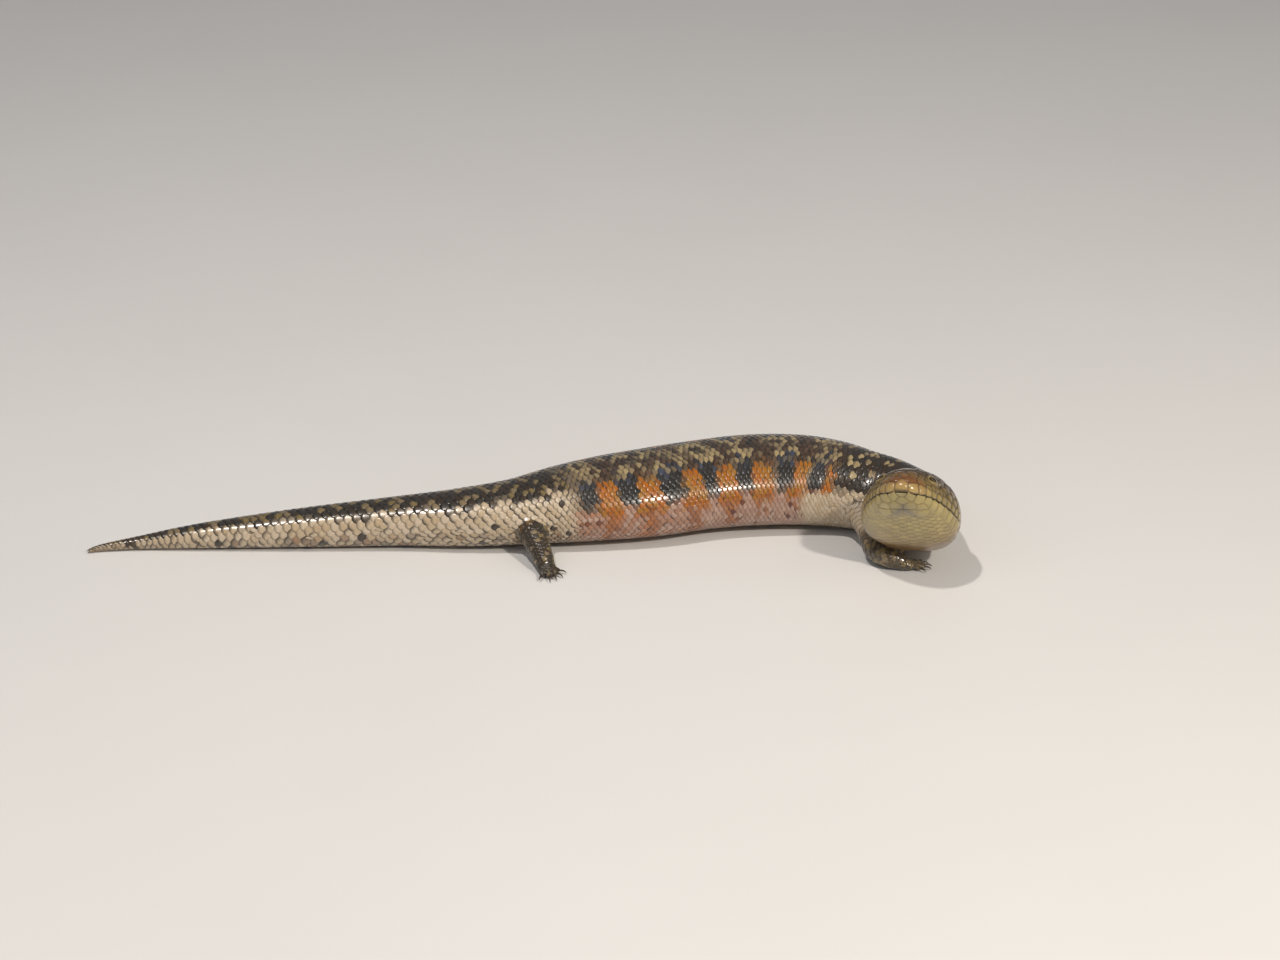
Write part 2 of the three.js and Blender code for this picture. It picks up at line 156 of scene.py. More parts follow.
BODY = [
    disc(-268.5, -34.5, 0.9, 0.9),
    disc(-262, -32, 1.8, 1.95),
    landmark(-243, -28.9, 3.1, 3.8, 3.6, 3.2),
    landmark(-214, -26.7, 5.5, 6.8, 6.4, 5.7),
    landmark(-166, -23.7, 8.4, 10.6, 9.6, 8.7),
    landmark(-117, -20.8, 10.6, 13.6, 12.2, 11),
    landmark(-88, -20, 12.1, 16.6, 13.9, 12.5),
    landmark(-62, -16.6, 13.2, 20.5, 15.3, 13.7),
    landmark(-39, -11.8, 15.1, 24.6, 17.4, 15.6),
    landmark(-18, -7.6, 16.4, 27.3, 18.9, 17),
    landmark(5, -2.6, 17.2, 28.8, 19.8, 17.9),
    landmark(30, 5.2, 17.4, 29.1, 20.1, 18.1),
    landmark(54, 9.4, 18, 29.6, 20.6, 18.7),
    landmark(77, 9.4, 18.2, 28.6, 20.8, 18.8),
    landmark(94, 5.6, 18.2, 25.8, 20.4, 18.8),
    landmark(109, -1, 18.6, 21.5, 19, 18.8),
    landmark(122.3, -6.4, 18.6, 17.2, 17.6, 18.2),
    landmark(133.2, -19.8, 19, 16.6, 16.8, 17.8),
    head_landmark(56, 19.2, 18.6, 15.6, 4.2),
    head_landmark(46, 22.6, 21.6, 14.8, 5.6),
    head_landmark(36, 23.8, 22.4, 13.4, 5.8),
    head_landmark(27, 22, 20.4, 10.4, 4.6),
    head_landmark(19, 18.8, 17.2, 7.8, 2.6),
    head_landmark(12, 15.2, 13.2, 6.4, 1),
    head_landmark(6, 11.4, 9, 5.4, -0.4),
    head_landmark(2, 7.2, 5.2, 4, -1.8),
    head_landmark(0.2, 3.8, 2.8, 2.2, -2.6),
    head_landmark(-0.4, 1, 0.8, 0.7, -2.9),
]
HEAD_FIRST = 18  # the section at the back of the head
SNOUT = len(BODY) - 1


class Loft:
    """A tube of flesh drawn through landmarks, in millimetres, its skin sunk under the scales.

    Places on it are a position along the landmarks and an angle, 0 on top and a quarter turn on its left.
    """

    def __init__(self, landmarks: list[list[float]], has_head: bool = False) -> None:
        """Args: landmarks from one end to the other; has_head turns the last sections with the head."""
        self.marks = np.array(landmarks, float)
        self.has_head = has_head
        self.last = len(landmarks) - 1
        self.steps = np.linspace(0, self.last, self.last * 50 + 1)
        centres = self.along(self.steps)[0][:, :3]
        run = np.linalg.norm(np.diff(centres, axis=0), axis=1)
        self.lengths = np.concatenate([[0], np.cumsum(run)])
        self._tabulate()

    def along(self, at: np.ndarray) -> tuple[np.ndarray, np.ndarray]:
        """The section's values, and the axis's rate of change, at places along the landmarks."""
        at = np.asarray(at, float)
        first = np.clip(np.floor(at).astype(int), 0, self.last - 1)
        t = (at - first)[..., None]
        p, q, r, s = (self.marks[np.clip(first + k, 0, self.last)] for k in (-1, 0, 1, 2))
        value = q + 0.5 * t * (r - p + t * (2 * p - 5 * q + 4 * r - s + t * (3 * (q - r) + s - p)))
        rate = 0.5 * (r - p + 2 * t * (2 * p - 5 * q + 4 * r - s) + 3 * t * t * (3 * (q - r) + s - p))
        return value, rate[..., :3]

    def axes(self, at: np.ndarray) -> tuple[np.ndarray, np.ndarray, np.ndarray]:
        """Forward, left and up at places along the landmarks."""
        forward = unit(self.along(at)[1])
        head = HEAD.axes()
        share = smooth(at, HEAD_FIRST - 1, HEAD_FIRST) if self.has_head else np.zeros(np.shape(at))
        forward = unit(mixed(forward, head[0], share))
        level = unit(np.cross(UP, forward))
        turn = (np.radians(-HEAD.roll) * share)[..., None]
        left = level * np.cos(turn) + np.cross(forward, level) * np.sin(turn)
        return forward, left, np.cross(forward, left)

    def _raw(self, at: np.ndarray, angle: np.ndarray) -> np.ndarray:
        """Points of the sunk skin."""
        value = self.along(at)[0]
        _, left, up = self.axes(at)
        rise, across = np.cos(angle), np.sin(angle)
        power = 2 / np.where(rise > 0, value[..., 6], value[..., 7])
        reach = np.where(rise > 0, value[..., 4], value[..., 5]) - SUNK
        wide = (value[..., 3] - SUNK) * np.sign(across) * np.abs(across) ** power
        high = reach * np.sign(rise) * np.abs(rise) ** power
        point = value[..., :3] + left * wide[..., None] + up * high[..., None]
        if self.has_head:
            point = self._set_back(point, at)
        point[..., 2] = np.maximum(point[..., 2], SUNK)
        return point

    @staticmethod
    def _set_back(point: np.ndarray, at: np.ndarray) -> np.ndarray:
        """The lower jaw's front kept behind the upper lip."""
        size, depth, length = OVERBITE
        behind, _, above = np.moveaxis(HEAD.measure(point), -1, 0)
        share = smooth(-above, 0, depth) * (1 - smooth(behind, 0, length)) * (at > HEAD_FIRST)
        return point - HEAD.axes()[0] * (size * share)[..., None]

    def skin(self, at: np.ndarray, angle: np.ndarray) -> tuple[np.ndarray, np.ndarray]:
        """Points of the sunk skin and their outward directions."""
        at, angle = np.broadcast_arrays(np.asarray(at, float), np.asarray(angle, float))
        step = 0.01
        low = np.clip(at - step, 0, self.last)
        high = np.clip(at + step, 0, self.last)
        ahead = self._raw(high, angle) - self._raw(low, angle)
        round_ = self._raw(at, angle + step) - self._raw(at, angle - step)
        return self._raw(at, angle), unit(np.cross(ahead, round_))

    def _tabulate(self) -> None:
        """Tables from a share of the girth to an angle, and of the girth."""
        self.stations = np.linspace(0, self.last, self.last * 4 + 1)
        turns = np.linspace(0, 2 * np.pi, 241)
        self.shares = np.linspace(0, 1, 161)
        rings = self._raw(self.stations[:, None] + turns * 0, turns + self.stations[:, None] * 0)
        run = np.linalg.norm(np.diff(rings, axis=1), axis=2)
        total = np.concatenate([np.zeros((len(rings), 1)), np.cumsum(run, axis=1)], axis=1)
        self.girths = total[:, -1]
        self.angles = np.array([np.interp(self.shares, row / row[-1], turns) for row in total])

    def girth(self, at: np.ndarray) -> np.ndarray:
        """The length round the skin."""
        return np.interp(at, self.stations, self.girths)

    def angle_of(self, at: np.ndarray, share: np.ndarray) -> np.ndarray:
        """The angle at a share of the girth, 0 on top and growing over the left side."""
        at, share = np.broadcast_arrays(at, share)
        whole = np.floor(share)
        row = np.clip(at * 4, 0, len(self.stations) - 1.001)
        column = np.clip((share - whole) * 160, 0, 159.999)
        i, j = row.astype(int), column.astype(int)
        u, v = row - i, column - j
        table = self.angles
        low = table[i, j] * (1 - v) + table[i, j + 1] * v
        high = table[i + 1, j] * (1 - v) + table[i + 1, j + 1] * v
        return low * (1 - u) + high * u + 2 * np.pi * whole

    def length_at(self, at: np.ndarray) -> np.ndarray:
        """The distance along the axis from the first landmark."""
        return np.interp(at, self.steps, self.lengths)

    def at_length(self, length: np.ndarray) -> np.ndarray:
        """The place along the landmarks at a distance along the axis."""
        return np.interp(length, self.lengths, self.steps)


def build_mesh(name: str, points: np.ndarray, loops: np.ndarray, sizes: np.ndarray) -> bpy.types.Mesh:
    """A mesh of polygons from points in drawing millimetres.

    Args:
        name: the mesh's name.
        points: n by 3 positions.
        loops: the corners of every polygon in turn, as indices of points.
        sizes: how many corners each polygon has.

    Returns:
        The mesh, smooth shaded.
    """
    mesh = bpy.data.meshes.new(name)
    mesh.vertices.add(len(points))
    mesh.vertices.foreach_set("co", to_metres(points).astype(np.float32).ravel())
    mesh.loops.add(len(loops))
    mesh.loops.foreach_set("vertex_index", loops.astype(np.int32))
    mesh.polygons.add(len(sizes))
    starts = np.concatenate([[0], np.cumsum(sizes)[:-1]])
    mesh.polygons.foreach_set("loop_start", starts.astype(np.int32))
    mesh.update(calc_edges=True)
    mesh.polygons.foreach_set("use_smooth", np.ones(len(sizes), bool))
    return mesh


def piece(name: str, mesh: bpy.types.Mesh, material: bpy.types.Material) -> bpy.types.Object:
    """An object of the part at the origin, riding on its body."""
    made = bpy.data.objects.new(name, mesh)
    bpy.context.scene.collection.objects.link(made)
    mesh.materials.clear()
    mesh.materials.append(material)
    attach(made, "root")
    LOG.info("%s: %d faces", name, len(mesh.polygons))
    return made


def paint(mesh: bpy.types.Mesh, colours: np.ndarray, rim: np.ndarray) -> None:
    """Stores the markings' colour and the closeness to a scale's rim on a mesh's points."""
    tint = mesh.attributes.new("markings", "FLOAT_COLOR", "POINT")
    full = np.concatenate([colours, np.ones((len(colours), 1))], axis=1)
    tint.data.foreach_set("color", full.astype(np.float32).ravel())
    edge = mesh.attributes.new("rim", "FLOAT", "POINT")
    edge.data.foreach_set("value", rim.astype(np.float32))


@dataclass
class ScalePlate:
    """One scale, straight in front and rounded behind, as a closed plate to be laid many times."""

    cells: int = 5

    def make(self) -> tuple[np.ndarray, np.ndarray, np.ndarray]:
        """Returns: points as across, back and layer, then loops and polygon sizes."""
        bm = bmesh.new()
        bmesh.ops.create_grid(bm, x_segments=self.cells, y_segments=self.cells, size=1)
        for vert in bm.verts:
            x, y, _ = vert.co
            if y > 0:
                vert.co.x = x * math.sqrt(1 - 0.5 * y * y)
                vert.co.y = y * math.sqrt(1 - 0.5 * x * x)
        outline = [edge for edge in bm.edges if edge.is_boundary]
        walls = bmesh.ops.extrude_edge_only(bm, edges=outline)["geom"]
        low = [item for item in walls if isinstance(item, bmesh.types.BMVert)]
        bmesh.ops.translate(bm, verts=low, vec=(0, 0, -1))
        bmesh.ops.holes_fill(bm, edges=[edge for edge in bm.edges if edge.is_boundary])
        bmesh.ops.recalc_face_normals(bm, faces=bm.faces)
        bm.verts.index_update()
        points = np.array([vert.co for vert in bm.verts])
        rings = [[vert.index for vert in face.verts] for face in bm.faces]
        starts = [ring.index(min(ring)) for ring in rings]
        loops = np.array([index for ring, at in zip(rings, starts) for index in ring[at:] + ring[:at]])
        bm.free()
        return points, loops, np.array([len(ring) for ring in rings])


# A laid scale's own section, in parts of its reach over the skin.
ROOT_SINK, TILT, CROWN, REAR_DROP, SEAT, DEPTH = 0.6, 1.45, 0.22, 0.28, 0.2, 0.6


@dataclass
class Lay:
    """Scales to be laid on a loft: where each is, how large, and its colour."""

    form: Loft
    length_at: np.ndarray
    share: np.ndarray
    half: np.ndarray
    long: np.ndarray
    sign: int = -1
    thick: np.ndarray | None = None
    tint: np.ndarray | None = None
    edge: np.ndarray | None = None
    dash: np.ndarray | None = None
    patch: tuple[float, float, float, float] = (0.02, 0.02, 0.96, 0.96)
    wrap: bool = False

    def kept(self, keep: np.ndarray) -> "Lay":
        """The same lay with only the scales where keep is true."""
        names = ("length_at", "share", "half", "long", "thick", "tint", "edge", "dash")
        chosen = {name: getattr(self, name) for name in names}
        cut = {name: None if value is None else value[keep] for name, value in chosen.items()}
        return Lay(self.form, sign=self.sign, patch=self.patch, wrap=self.wrap, **cut)

    def roots(self) -> tuple[np.ndarray, np.ndarray]:
        """The middle of each scale on the sunk skin, and its outward direction."""
        at = self.form.at_length(self.length_at)
        return self.form.skin(at, self.form.angle_of(at, self.share))

    def points(self, plate: np.ndarray, blend: "Flesh") -> np.ndarray:
        """Every point of every scale: scales by plate points by 3."""
        x, y, layer = plate[:, 0], plate[:, 1], plate[:, 2]
        length = self.length_at[:, None] + self.sign * y * self.long[:, None] / 2
        at = self.form.at_length(np.clip(length, 0, self.form.lengths[-1]))
        angle = self.form.angle_of(at, self.share[:, None] + x * self.half[:, None])
        base, out = self.form.skin(at, angle)
        reach = SUNK * self.thick[:, None]
        tilt = -ROOT_SINK + TILT * (y + 1) / 2
        crown = CROWN * (1 - np.abs(x) ** 3) - REAR_DROP * np.clip(y, 0, 1) ** 5
        height = reach * (tilt + crown - SEAT + np.where(layer < -0.5, -DEPTH, 0))
        flatter = self._stretch()[:, None]
        return blend.settle(base, out, height * flatter - 0.1 * reach * (1 - flatter), self.wrap)

    def _stretch(self) -> np.ndarray:
        """How far the skin runs for each step of the axis, less than 1 inside a bend, within limits."""
        step = 0.5
        ends = []
        for way in (step, -step):
            at = self.form.at_length(np.clip(self.length_at + way, 0, self.form.lengths[-1]))
            ends.append(self.form.skin(at, self.form.angle_of(at, self.share))[0])
        return np.clip(np.linalg.norm(ends[0] - ends[1], axis=1) / (2 * step), 0.3, 1)


BAKE_PATCH = 0.003


class Coat:
    """Makes one mesh of laid scales."""

    def __init__(self, flesh: "Flesh") -> None:
        """Args: flesh is the skin that the scales follow."""
        self.flesh = flesh
        self.plate, self.loops, self.sizes = ScalePlate().make()

    def mesh(self, name: str, lays: list[Lay]) -> bpy.types.Mesh:
        """One mesh of all the scales, with colours, rims and a bake patch for each."""
        count = len(self.plate)
        points = np.concatenate([lay.points(self.plate, self.flesh).reshape(-1, 3) for lay in lays])
        total = sum(len(lay.share) for lay in lays)
        loops = (self.loops[None, :] + np.arange(total)[:, None] * count).ravel()
        mesh = build_mesh(name, points, loops, np.tile(self.sizes, total))
        tint = np.concatenate([lay.tint for lay in lays])[:, None, :]
        edge = np.concatenate([lay.edge for lay in lays])[:, None, :]
        x, y, layer = self.plate.T
        rim = np.clip(np.maximum(np.abs(x) ** 6, np.clip(y, 0, 1) ** 6) + (layer < -0.5), 0, 1)
        dash = np.concatenate([lay.dash for lay in lays])[:, None]
        corner = np.clip(2.6 * (y + 0.6 * np.sign(dash) * x) - 1.5, 0, 1) * (layer > -0.5)
        marked = mixed(mixed(tint, edge, rim[None, :]), Paint.SOOT, np.abs(dash) * corner)
        paint(mesh, marked.reshape(-1, 3), np.tile(rim, total))
        centre = np.concatenate([self._patches(lay) for lay in lays])
        local = BAKE_PATCH / 2 * self.plate[self.loops, :2]
        bake = mesh.uv_layers.new(name="OFBake")
        places = centre[:, None, :] + local[None]
        bake.data.foreach_set("uv", places.astype(np.float32).ravel())
        return mesh

    @staticmethod
    def _patches(lay: Lay) -> np.ndarray:
        """The place of each scale on the unrolled skin."""
        low_u, low_v, wide, high = lay.patch
        along = lay.length_at / lay.form.lengths[-1]
        return np.stack([low_u + wide * along, low_v + high * (lay.share % 1)], axis=1)


# Widths of the long rows on one side, from the middle of the back to the middle of the belly.
ROW_WIDTHS = [4, 4, 3.9, 3.8, 3.6, 3.3, 3, 2.7, 2.5] + [2.35] * 10 + [2.6, 3, 3.4, 3.6, 3.8, 3.8, 3.8]
ROW_DROPS = [12, 10, 14, 8, 16, 6, 18, 4, 20, 2, 22]  # the first of each pair of rows that ends, in order
NECK_DROPS = 3  # how many pairs end towards the head as well
DROP_GIRTH = 0.86  # the share of the rows' own width at which the next pair ends
DROP_RUN = 5.0
OVERLAP = 0.86
LENGTHEN = 1.75
PITCH_PLACES = [0, 12, 60, 110, 165, 200, 235, 280, 330, 370, 430, 480, 560]
PITCHES = [1.3, 2.2, 3.8, 4.2, 4.4, 3.8, 2.75, 2.85, 2.9, 2.7, 2.7, 2.7, 2.5]
TRUNK_END = 420  # where the neck bends up, along the axis


@dataclass
class BodyScales:
    """The long rows of overlapping scales over the tail, trunk, neck and throat."""

    form: Loft

    @staticmethod
    def pitch(length: np.ndarray) -> np.ndarray:
        """The distance between scales of one row."""
        return np.interp(length, PITCH_PLACES, PITCHES)

    def drops(self) -> list[tuple[int, float, float]]:
        """The first row of each pair that ends, where it ends towards the tail, and towards the head."""
        total = 2 * sum(ROW_WIDTHS)
        lengths = np.linspace(0, self.form.lengths[-1], 1200)
        girths = self.form.girth(self.form.at_length(lengths))
        widest = int(np.argmax(np.where(lengths < TRUNK_END, girths, 0)))
        found = []
        for number, first in enumerate(ROW_DROPS):
            limit = DROP_GIRTH * total
            back = lengths[: widest + 1][girths[: widest + 1] < limit].max()
            ahead = lengths[widest:][girths[widest:] < limit]
            front = ahead.min() if number < NECK_DROPS and len(ahead) else 1e6
            found.append((first, back, front))
            total -= 2 * (ROW_WIDTHS[first] + ROW_WIDTHS[first + 1])
        return found

    def lay(self) -> Lay:
        """Every scale of the body, not yet coloured."""
        dense = np.linspace(0, self.form.lengths[-1], 4000)
        counts = np.concatenate([[0], np.cumsum(np.diff(dense) / self.pitch(dense[1:]))])
        side = len(ROW_WIDTHS)
        columns = []
        for row in range(2 * side):
            number = np.arange(1, int(counts[-1])) + 0.5 * (row % 2)
            length = np.interp(number, counts, dense)
            columns.append(np.stack([np.full(len(length), row), length], axis=1))
        rows, length = np.concatenate(columns).T
        rows = rows.astype(int)
        base = np.array(ROW_WIDTHS + ROW_WIDTHS[::-1])
        weight = np.tile(base, (len(length), 1))
        for first, back, front in self.drops():
            share = smooth(length, back - DROP_RUN, back + DROP_RUN)
            share = share * (1 - smooth(length, front - DROP_RUN, front + DROP_RUN))
            for row in (first, first + 1, 2 * side - 1 - first, 2 * side - 2 - first):
                weight[:, row] *= share
        total = weight.sum(axis=1)
        own = weight[np.arange(len(rows)), rows]
        share = (np.cumsum(weight, axis=1)[np.arange(len(rows)), rows] - own / 2) / total
        half = OVERLAP * own / total
        long = LENGTHEN * self.pitch(length)
        whole = Lay(self.form, length, share, half, long, thick=np.full(len(length), 0.85))
        return whole.kept((own > 0.3 * base[rows]) & (length > 2))


@dataclass
class LimbScales:
    """Rows of small overlapping scales down a limb or a toe, their free edges towards its end."""

    form: Loft
    rows: int
    start: float
    end: float
    thick: float
    patch: tuple[float, float, float, float]
    step: float = 0.92

    def lay(self) -> Lay:
        """Every scale of the limb, not yet coloured."""
        dense = np.linspace(self.form.length_at(self.start), self.form.length_at(self.end), 300)
        pitch = self.step * self.form.girth(self.form.at_length(dense)) / self.rows
        counts = np.concatenate([[0], np.cumsum(np.diff(dense) / pitch[1:])])
        rows, number = np.meshgrid(np.arange(self.rows), np.arange(int(counts[-1])), indexing="ij")
        length = np.interp(number + 0.5 * (rows % 2), counts, dense).ravel()
        share = ((rows + 0.5) / self.rows).ravel()
        half = np.full(rows.size, 0.9 / self.rows)
        long = 1.8 * np.interp(length, dense, pitch)
        thick = np.full(rows.size, self.thick)
        return Lay(self.form, length, share, half, long, 1, thick, patch=self.patch, wrap=True)


@dataclass(frozen=True)
class Limb:
    """A leg from inside the trunk to the ankle, and the spread of its toes, in degrees and millimetres."""

    name: str
    side: Side
    bones: tuple[tuple[float, float, float, float], ...]
    heading: float
    length: float
    fan: tuple[float, ...]
    toes: tuple[float, ...]

    @property
    def fore(self) -> bool:
        """Whether it is a fore leg."""
        return self.name.startswith("front")


LIMBS = [
    Limb(
        "front_right",
        Side.RIGHT,
        ((104, -12, 16, 9), (110.5, -27, 13, 7.6), (112.5, -37, 9.8, 7))
        + ((114, -44, 7.4, 6.5), (118.5, -48.6, 6, 5.7), (124.5, -50.2, 4.4, 4.7)),
        *(2, 6.5, (36, 18, 2, -14, -34), (4.4, 5.6, 6.4, 6, 4.6)),
    ),
    Limb(
        "front_left",
        Side.LEFT,
        ((98, 8, 16, 9), (98.5, 24, 13.5, 8), (99.5, 35, 9.8, 7.2))
        + ((102.5, 42, 7.4, 6.5), (108.5, 46, 6, 5.7), (115, 48, 4.4, 4.7)),
        *(14, 6.5, (44, 21, 2, -18, -44), (4.6, 6.4, 7.4, 7, 5)),
    ),
    Limb(
        "hind_right",
        Side.RIGHT,
        ((-62, -14, 14, 11), (-56.5, -28, 13, 8.8), (-51.8, -36.5, 12, 7.5))
        + ((-49.8, -42, 10, 6.5), (-47.4, -48, 7.2, 5.6), (-45.8, -52.4, 5, 5.1)),
        *(-66, 4.5, (58, 30, 6, -14, -44), (4.2, 4.4, 4.8, 5.2, 4.6)),
    ),
    Limb(
        "hind_left",
        Side.LEFT,
        ((-64, -16, 14, 11), (-59, 0, 13.2, 9.4), (-53, 10, 12.2, 7.8))
        + ((-49, 16, 10.2, 6.6), (-44, 22.5, 7.2, 5.6), (-39.5, 27.5, 5, 5.1)),
        *(42, 7, (50, 27, 6, -14, -44), (4.6, 6, 7.6, 8.8, 6)),
    ),
]
SOLE = (0.6, 2.3, 2.1)  # its share of the foot's length, its level, and a toe's radius there
TOE_ROOT = 2.2
TOE_SECTIONS = [(0, 2.6, 2.0), (0.5, 2.5, 1.75), (1, 1.7, 1.35)]  # share of its length, level, radius
CLAW_SECTIONS = [(-1.4, 1.9, 0.95), (1.5, 2.0, 0.86), (2.7, 1.4, 0.72), (3.4, 0.8, 0.5)]  # from its end


@dataclass
class Leg:
    """The lofts of one leg: limb, palm, toes and claws."""

    limb: Limb
    bones: Loft = field(init=False)
    palm: Loft = field(init=False)
    cover: Loft = field(init=False)
    toes: list[Loft] = field(init=False)
    claws: list[Loft] = field(init=False)

    def __post_init__(self) -> None:
        """Draws the lofts from the limb's sizes."""
        limb = self.limb
        bones = [disc(*bone) for bone in limb.bones]
        self.bones = Loft(bones)
        x, y, z, _ = limb.bones[-1]
        sections = [(0.35, z * 0.75, 4.9, 3.6), (0.8, 2.5, 4.7, 2.6), (1.15, 2.2, 3, 1.9)]
        flat = [
            landmark(*self.out(x, y, limb.heading, share * limb.length, level), half, thick, thick, 2, 2)
            for share, level, half, thick in sections
        ]
        self.palm = Loft([bones[-1], *flat])
        self.cover = Loft([*bones, *flat])
        share, level, radius = SOLE
        sole = self.out(x, y, limb.heading, limb.length * share, level)
        self.toes, self.claws = [], []
        for turn, size in zip(limb.fan, limb.toes):
            way = limb.heading - limb.side.value * turn
            toe = [(TOE_ROOT + size * part, high, wide) for part, high, wide in TOE_SECTIONS]
            claw = [(TOE_ROOT + size + ahead, high, wide) for ahead, high, wide in CLAW_SECTIONS]
            self.toes.append(Loft([disc(*sole, radius), *self._row(sole, way, toe)]))
            self.claws.append(Loft(self._row(sole, way, claw)))

    @staticmethod
    def out(x: float, y: float, degrees: float, reach: float, level: float) -> tuple[float, float, float]:
        """The point at a distance and direction from x, y, at a level."""
        turn = math.radians(degrees)
        return (x + math.cos(turn) * reach, y + math.sin(turn) * reach, level)

    def _row(self, sole: tuple[float, ...], way: float, sections: list[tuple]) -> list[list[float]]:
        """Round sections at reaches from the sole in one direction, each with its level and radius."""
        x, y, _ = sole
        return [disc(*self.out(x, y, way, reach, level), radius) for reach, level, radius in sections]


def tube(form: Loft, start: float, end: float, rings: int, sides: int) -> bmesh.types.BMesh:
    """A closed tube over part of a loft, in metres of the part's frame."""
    bm = bmesh.new()
    bmesh.ops.create_grid(bm, x_segments=sides, y_segments=rings, size=1)
    flat = np.array([vert.co for vert in bm.verts])
    at = start + (flat[:, 1] + 1) / 2 * (end - start)
    placed = to_metres(form.skin(at, np.pi * (flat[:, 0] + 1))[0])
    for vert, place in zip(bm.verts, placed):
        vert.co = place
    bmesh.ops.remove_doubles(bm, verts=bm.verts, dist=2e-6)
    bmesh.ops.holes_fill(bm, edges=[edge for edge in bm.edges if edge.is_boundary])
    bmesh.ops.recalc_face_normals(bm, faces=bm.faces)
    return bm


def joined(name: str, shapes: list[bmesh.types.BMesh]) -> bpy.types.Mesh:
    """One smooth mesh of several shapes."""
    whole = bmesh.new()
    loose = bpy.data.meshes.new("loose")
    for shape in shapes:
        shape.to_mesh(loose)
        whole.from_mesh(loose)
        shape.free()
    bpy.data.meshes.remove(loose)
    for face in whole.faces:
        face.smooth = True
    mesh = bpy.data.meshes.new(name)
    whole.to_mesh(mesh)
    whole.free()
    return mesh


@dataclass
class Flesh:
    """The whole animal's one skin, with its legs blended in."""

    body: Loft
    legs: list[Leg]
    voxel: float = 1.2
    fine_voxel: float = 0.5
    blend_reach: float = 15.0
    blend_rounds: int = 14
    skin: bpy.types.Mesh = field(init=False)
    tree: BVHTree = field(init=False)
    joins: np.ndarray = field(init=False)

    def __post_init__(self) -> None:
        """Finds where the legs join the trunk and makes the blended skin."""
        self.joins = np.array([leg.bones.marks[1, :3] for leg in self.legs])
        trunk = [tube(self.body, 0, HEAD_FIRST + 0.45, 320, 96)]
        trunk += [tube(leg.bones, 0, leg.bones.last, 40, 40) for leg in self.legs]
        feet = []
        for leg in self.legs:
            feet.append(tube(leg.bones, leg.bones.last - 0.9, leg.bones.last, 12, 40))
            feet.append(tube(leg.palm, 0, leg.palm.last, 16, 28))
            feet += [tube(toe, 0, toe.last, 14, 16) for toe in leg.toes]
        fused = [self._fused(trunk, self.voxel, True), self._fused(feet, self.fine_voxel, False)]
        self.skin = joined("flesh", fused)
        corners = [vert.co for vert in self.skin.vertices]
        self.tree = BVHTree.FromPolygons(corners, [face.vertices for face in self.skin.polygons])

    def _fused(self, parts: list[bmesh.types.BMesh], voxel: float, roots: bool) -> bmesh.types.BMesh:
        """The union of closed forms as one even surface.

        Args:
            parts: the forms, used up.
            voxel: the size of its faces, in millimetres.
            roots: whether the legs' roots are blended into the trunk.

        Returns:
            The surface, smoothed.
        """
        holder = bpy.data.objects.new("union", joined("union", parts))
        bpy.context.scene.collection.objects.link(holder)
        remesh = holder.modifiers.new("even", "REMESH")
        remesh.mode = "VOXEL"
        remesh.voxel_size = voxel * MM
        graph = bpy.context.evaluated_depsgraph_get()
        even = bpy.data.meshes.new_from_object(holder.evaluated_get(graph))
        bpy.data.objects.remove(holder)
        bm = bmesh.new()
        bm.from_mesh(even)
        bm.verts.ensure_lookup_table()
        axes = {"use_axis_x": True, "use_axis_y": True, "use_axis_z": True}
        if roots:
            places = places_of(bm.verts)
            near = np.linalg.norm(places[:, None] - self.joins[None], axis=2).min(axis=1)
            soft = [bm.verts[i] for i in np.flatnonzero(near < self.blend_reach)]
            for _ in range(self.blend_rounds):
                bmesh.ops.smooth_vert(bm, verts=soft, factor=0.5, **axes)
        for _ in range(1 if roots else 3):
            bmesh.ops.smooth_vert(bm, verts=bm.verts, factor=0.5, **axes)
        return bm

    def depth(self, points: np.ndarray) -> np.ndarray:
        """How far points of the drawing lie under the blended skin, and 0 above it."""
        found = np.zeros(len(points))
        for number, place in enumerate(to_metres(points)):
            spot, out, _, away = self.tree.find_nearest(Vector(place))
            if (spot - Vector(place)).dot(out) > 0:
                found[number] = away / MM
        return found

    def near(self, points: np.ndarray) -> np.ndarray:
        """True where points are near a leg's root."""
        away = np.linalg.norm(points[:, None] - self.joins[None], axis=2).min(axis=1)
        return away < self.blend_reach + 5

    def settle(self, base: np.ndarray, out: np.ndarray, height: np.ndarray, wrap: bool) -> np.ndarray:
        """Points at heights over the skin, moved onto the blend near the legs, or all of them with wrap."""
        points = base + out * height[..., None]
        close = range(len(base)) if wrap else np.flatnonzero(self.near(base[:, base.shape[1] // 2]))
        for number in close:
            for corner in range(base.shape[1]):
                place = Vector(to_metres(base[number, corner]))
                spot, away, _, gap = self.tree.find_nearest(place)
                if gap < 2.5 * MM:
                    foot = np.array(spot) / MM + ORIGIN
                    points[number, corner] = foot + np.array(away) * height[number, corner]
        points[..., 2] = np.maximum(points[..., 2], 0.02)
        return points


class Paint:
    """The animal's colours."""

    SOOT = colour("1f1d1a")
    CHARCOAL = colour("332f29")
    # slate: the painted sheen on the upper part of the dark bars, and the painted shadow on the chin
    SLATE = colour("434857")
    KHAKI = colour("a8946a")
    BLUSH = colour("bda084")
    MAUVE = colour("5b4535")
    ORANGE = colour("a45c12")
    OCHRE = colour("946822")
    RUST = colour("7c461e")
    BLOOD = colour("55261a")
    ROSE = colour("9a7766")
    PALE = colour("b09381")
    SAND = colour("b09b7c")
    CREAM = colour("bfae96")
    OLIVE = colour("74633a")
    UMBER = colour("3a2c1e")
    DUN = colour("7d6c52")
    SEAM = colour("2a2119")
    THROAT = colour("a9975f")
    THROAT_LOW = colour("8a6c47")
    LIP = colour("b9a468")
    SNOUT = colour("7a4f28")
    CHEEK = colour("7c6839")
    CROWN = colour("4b3a22")


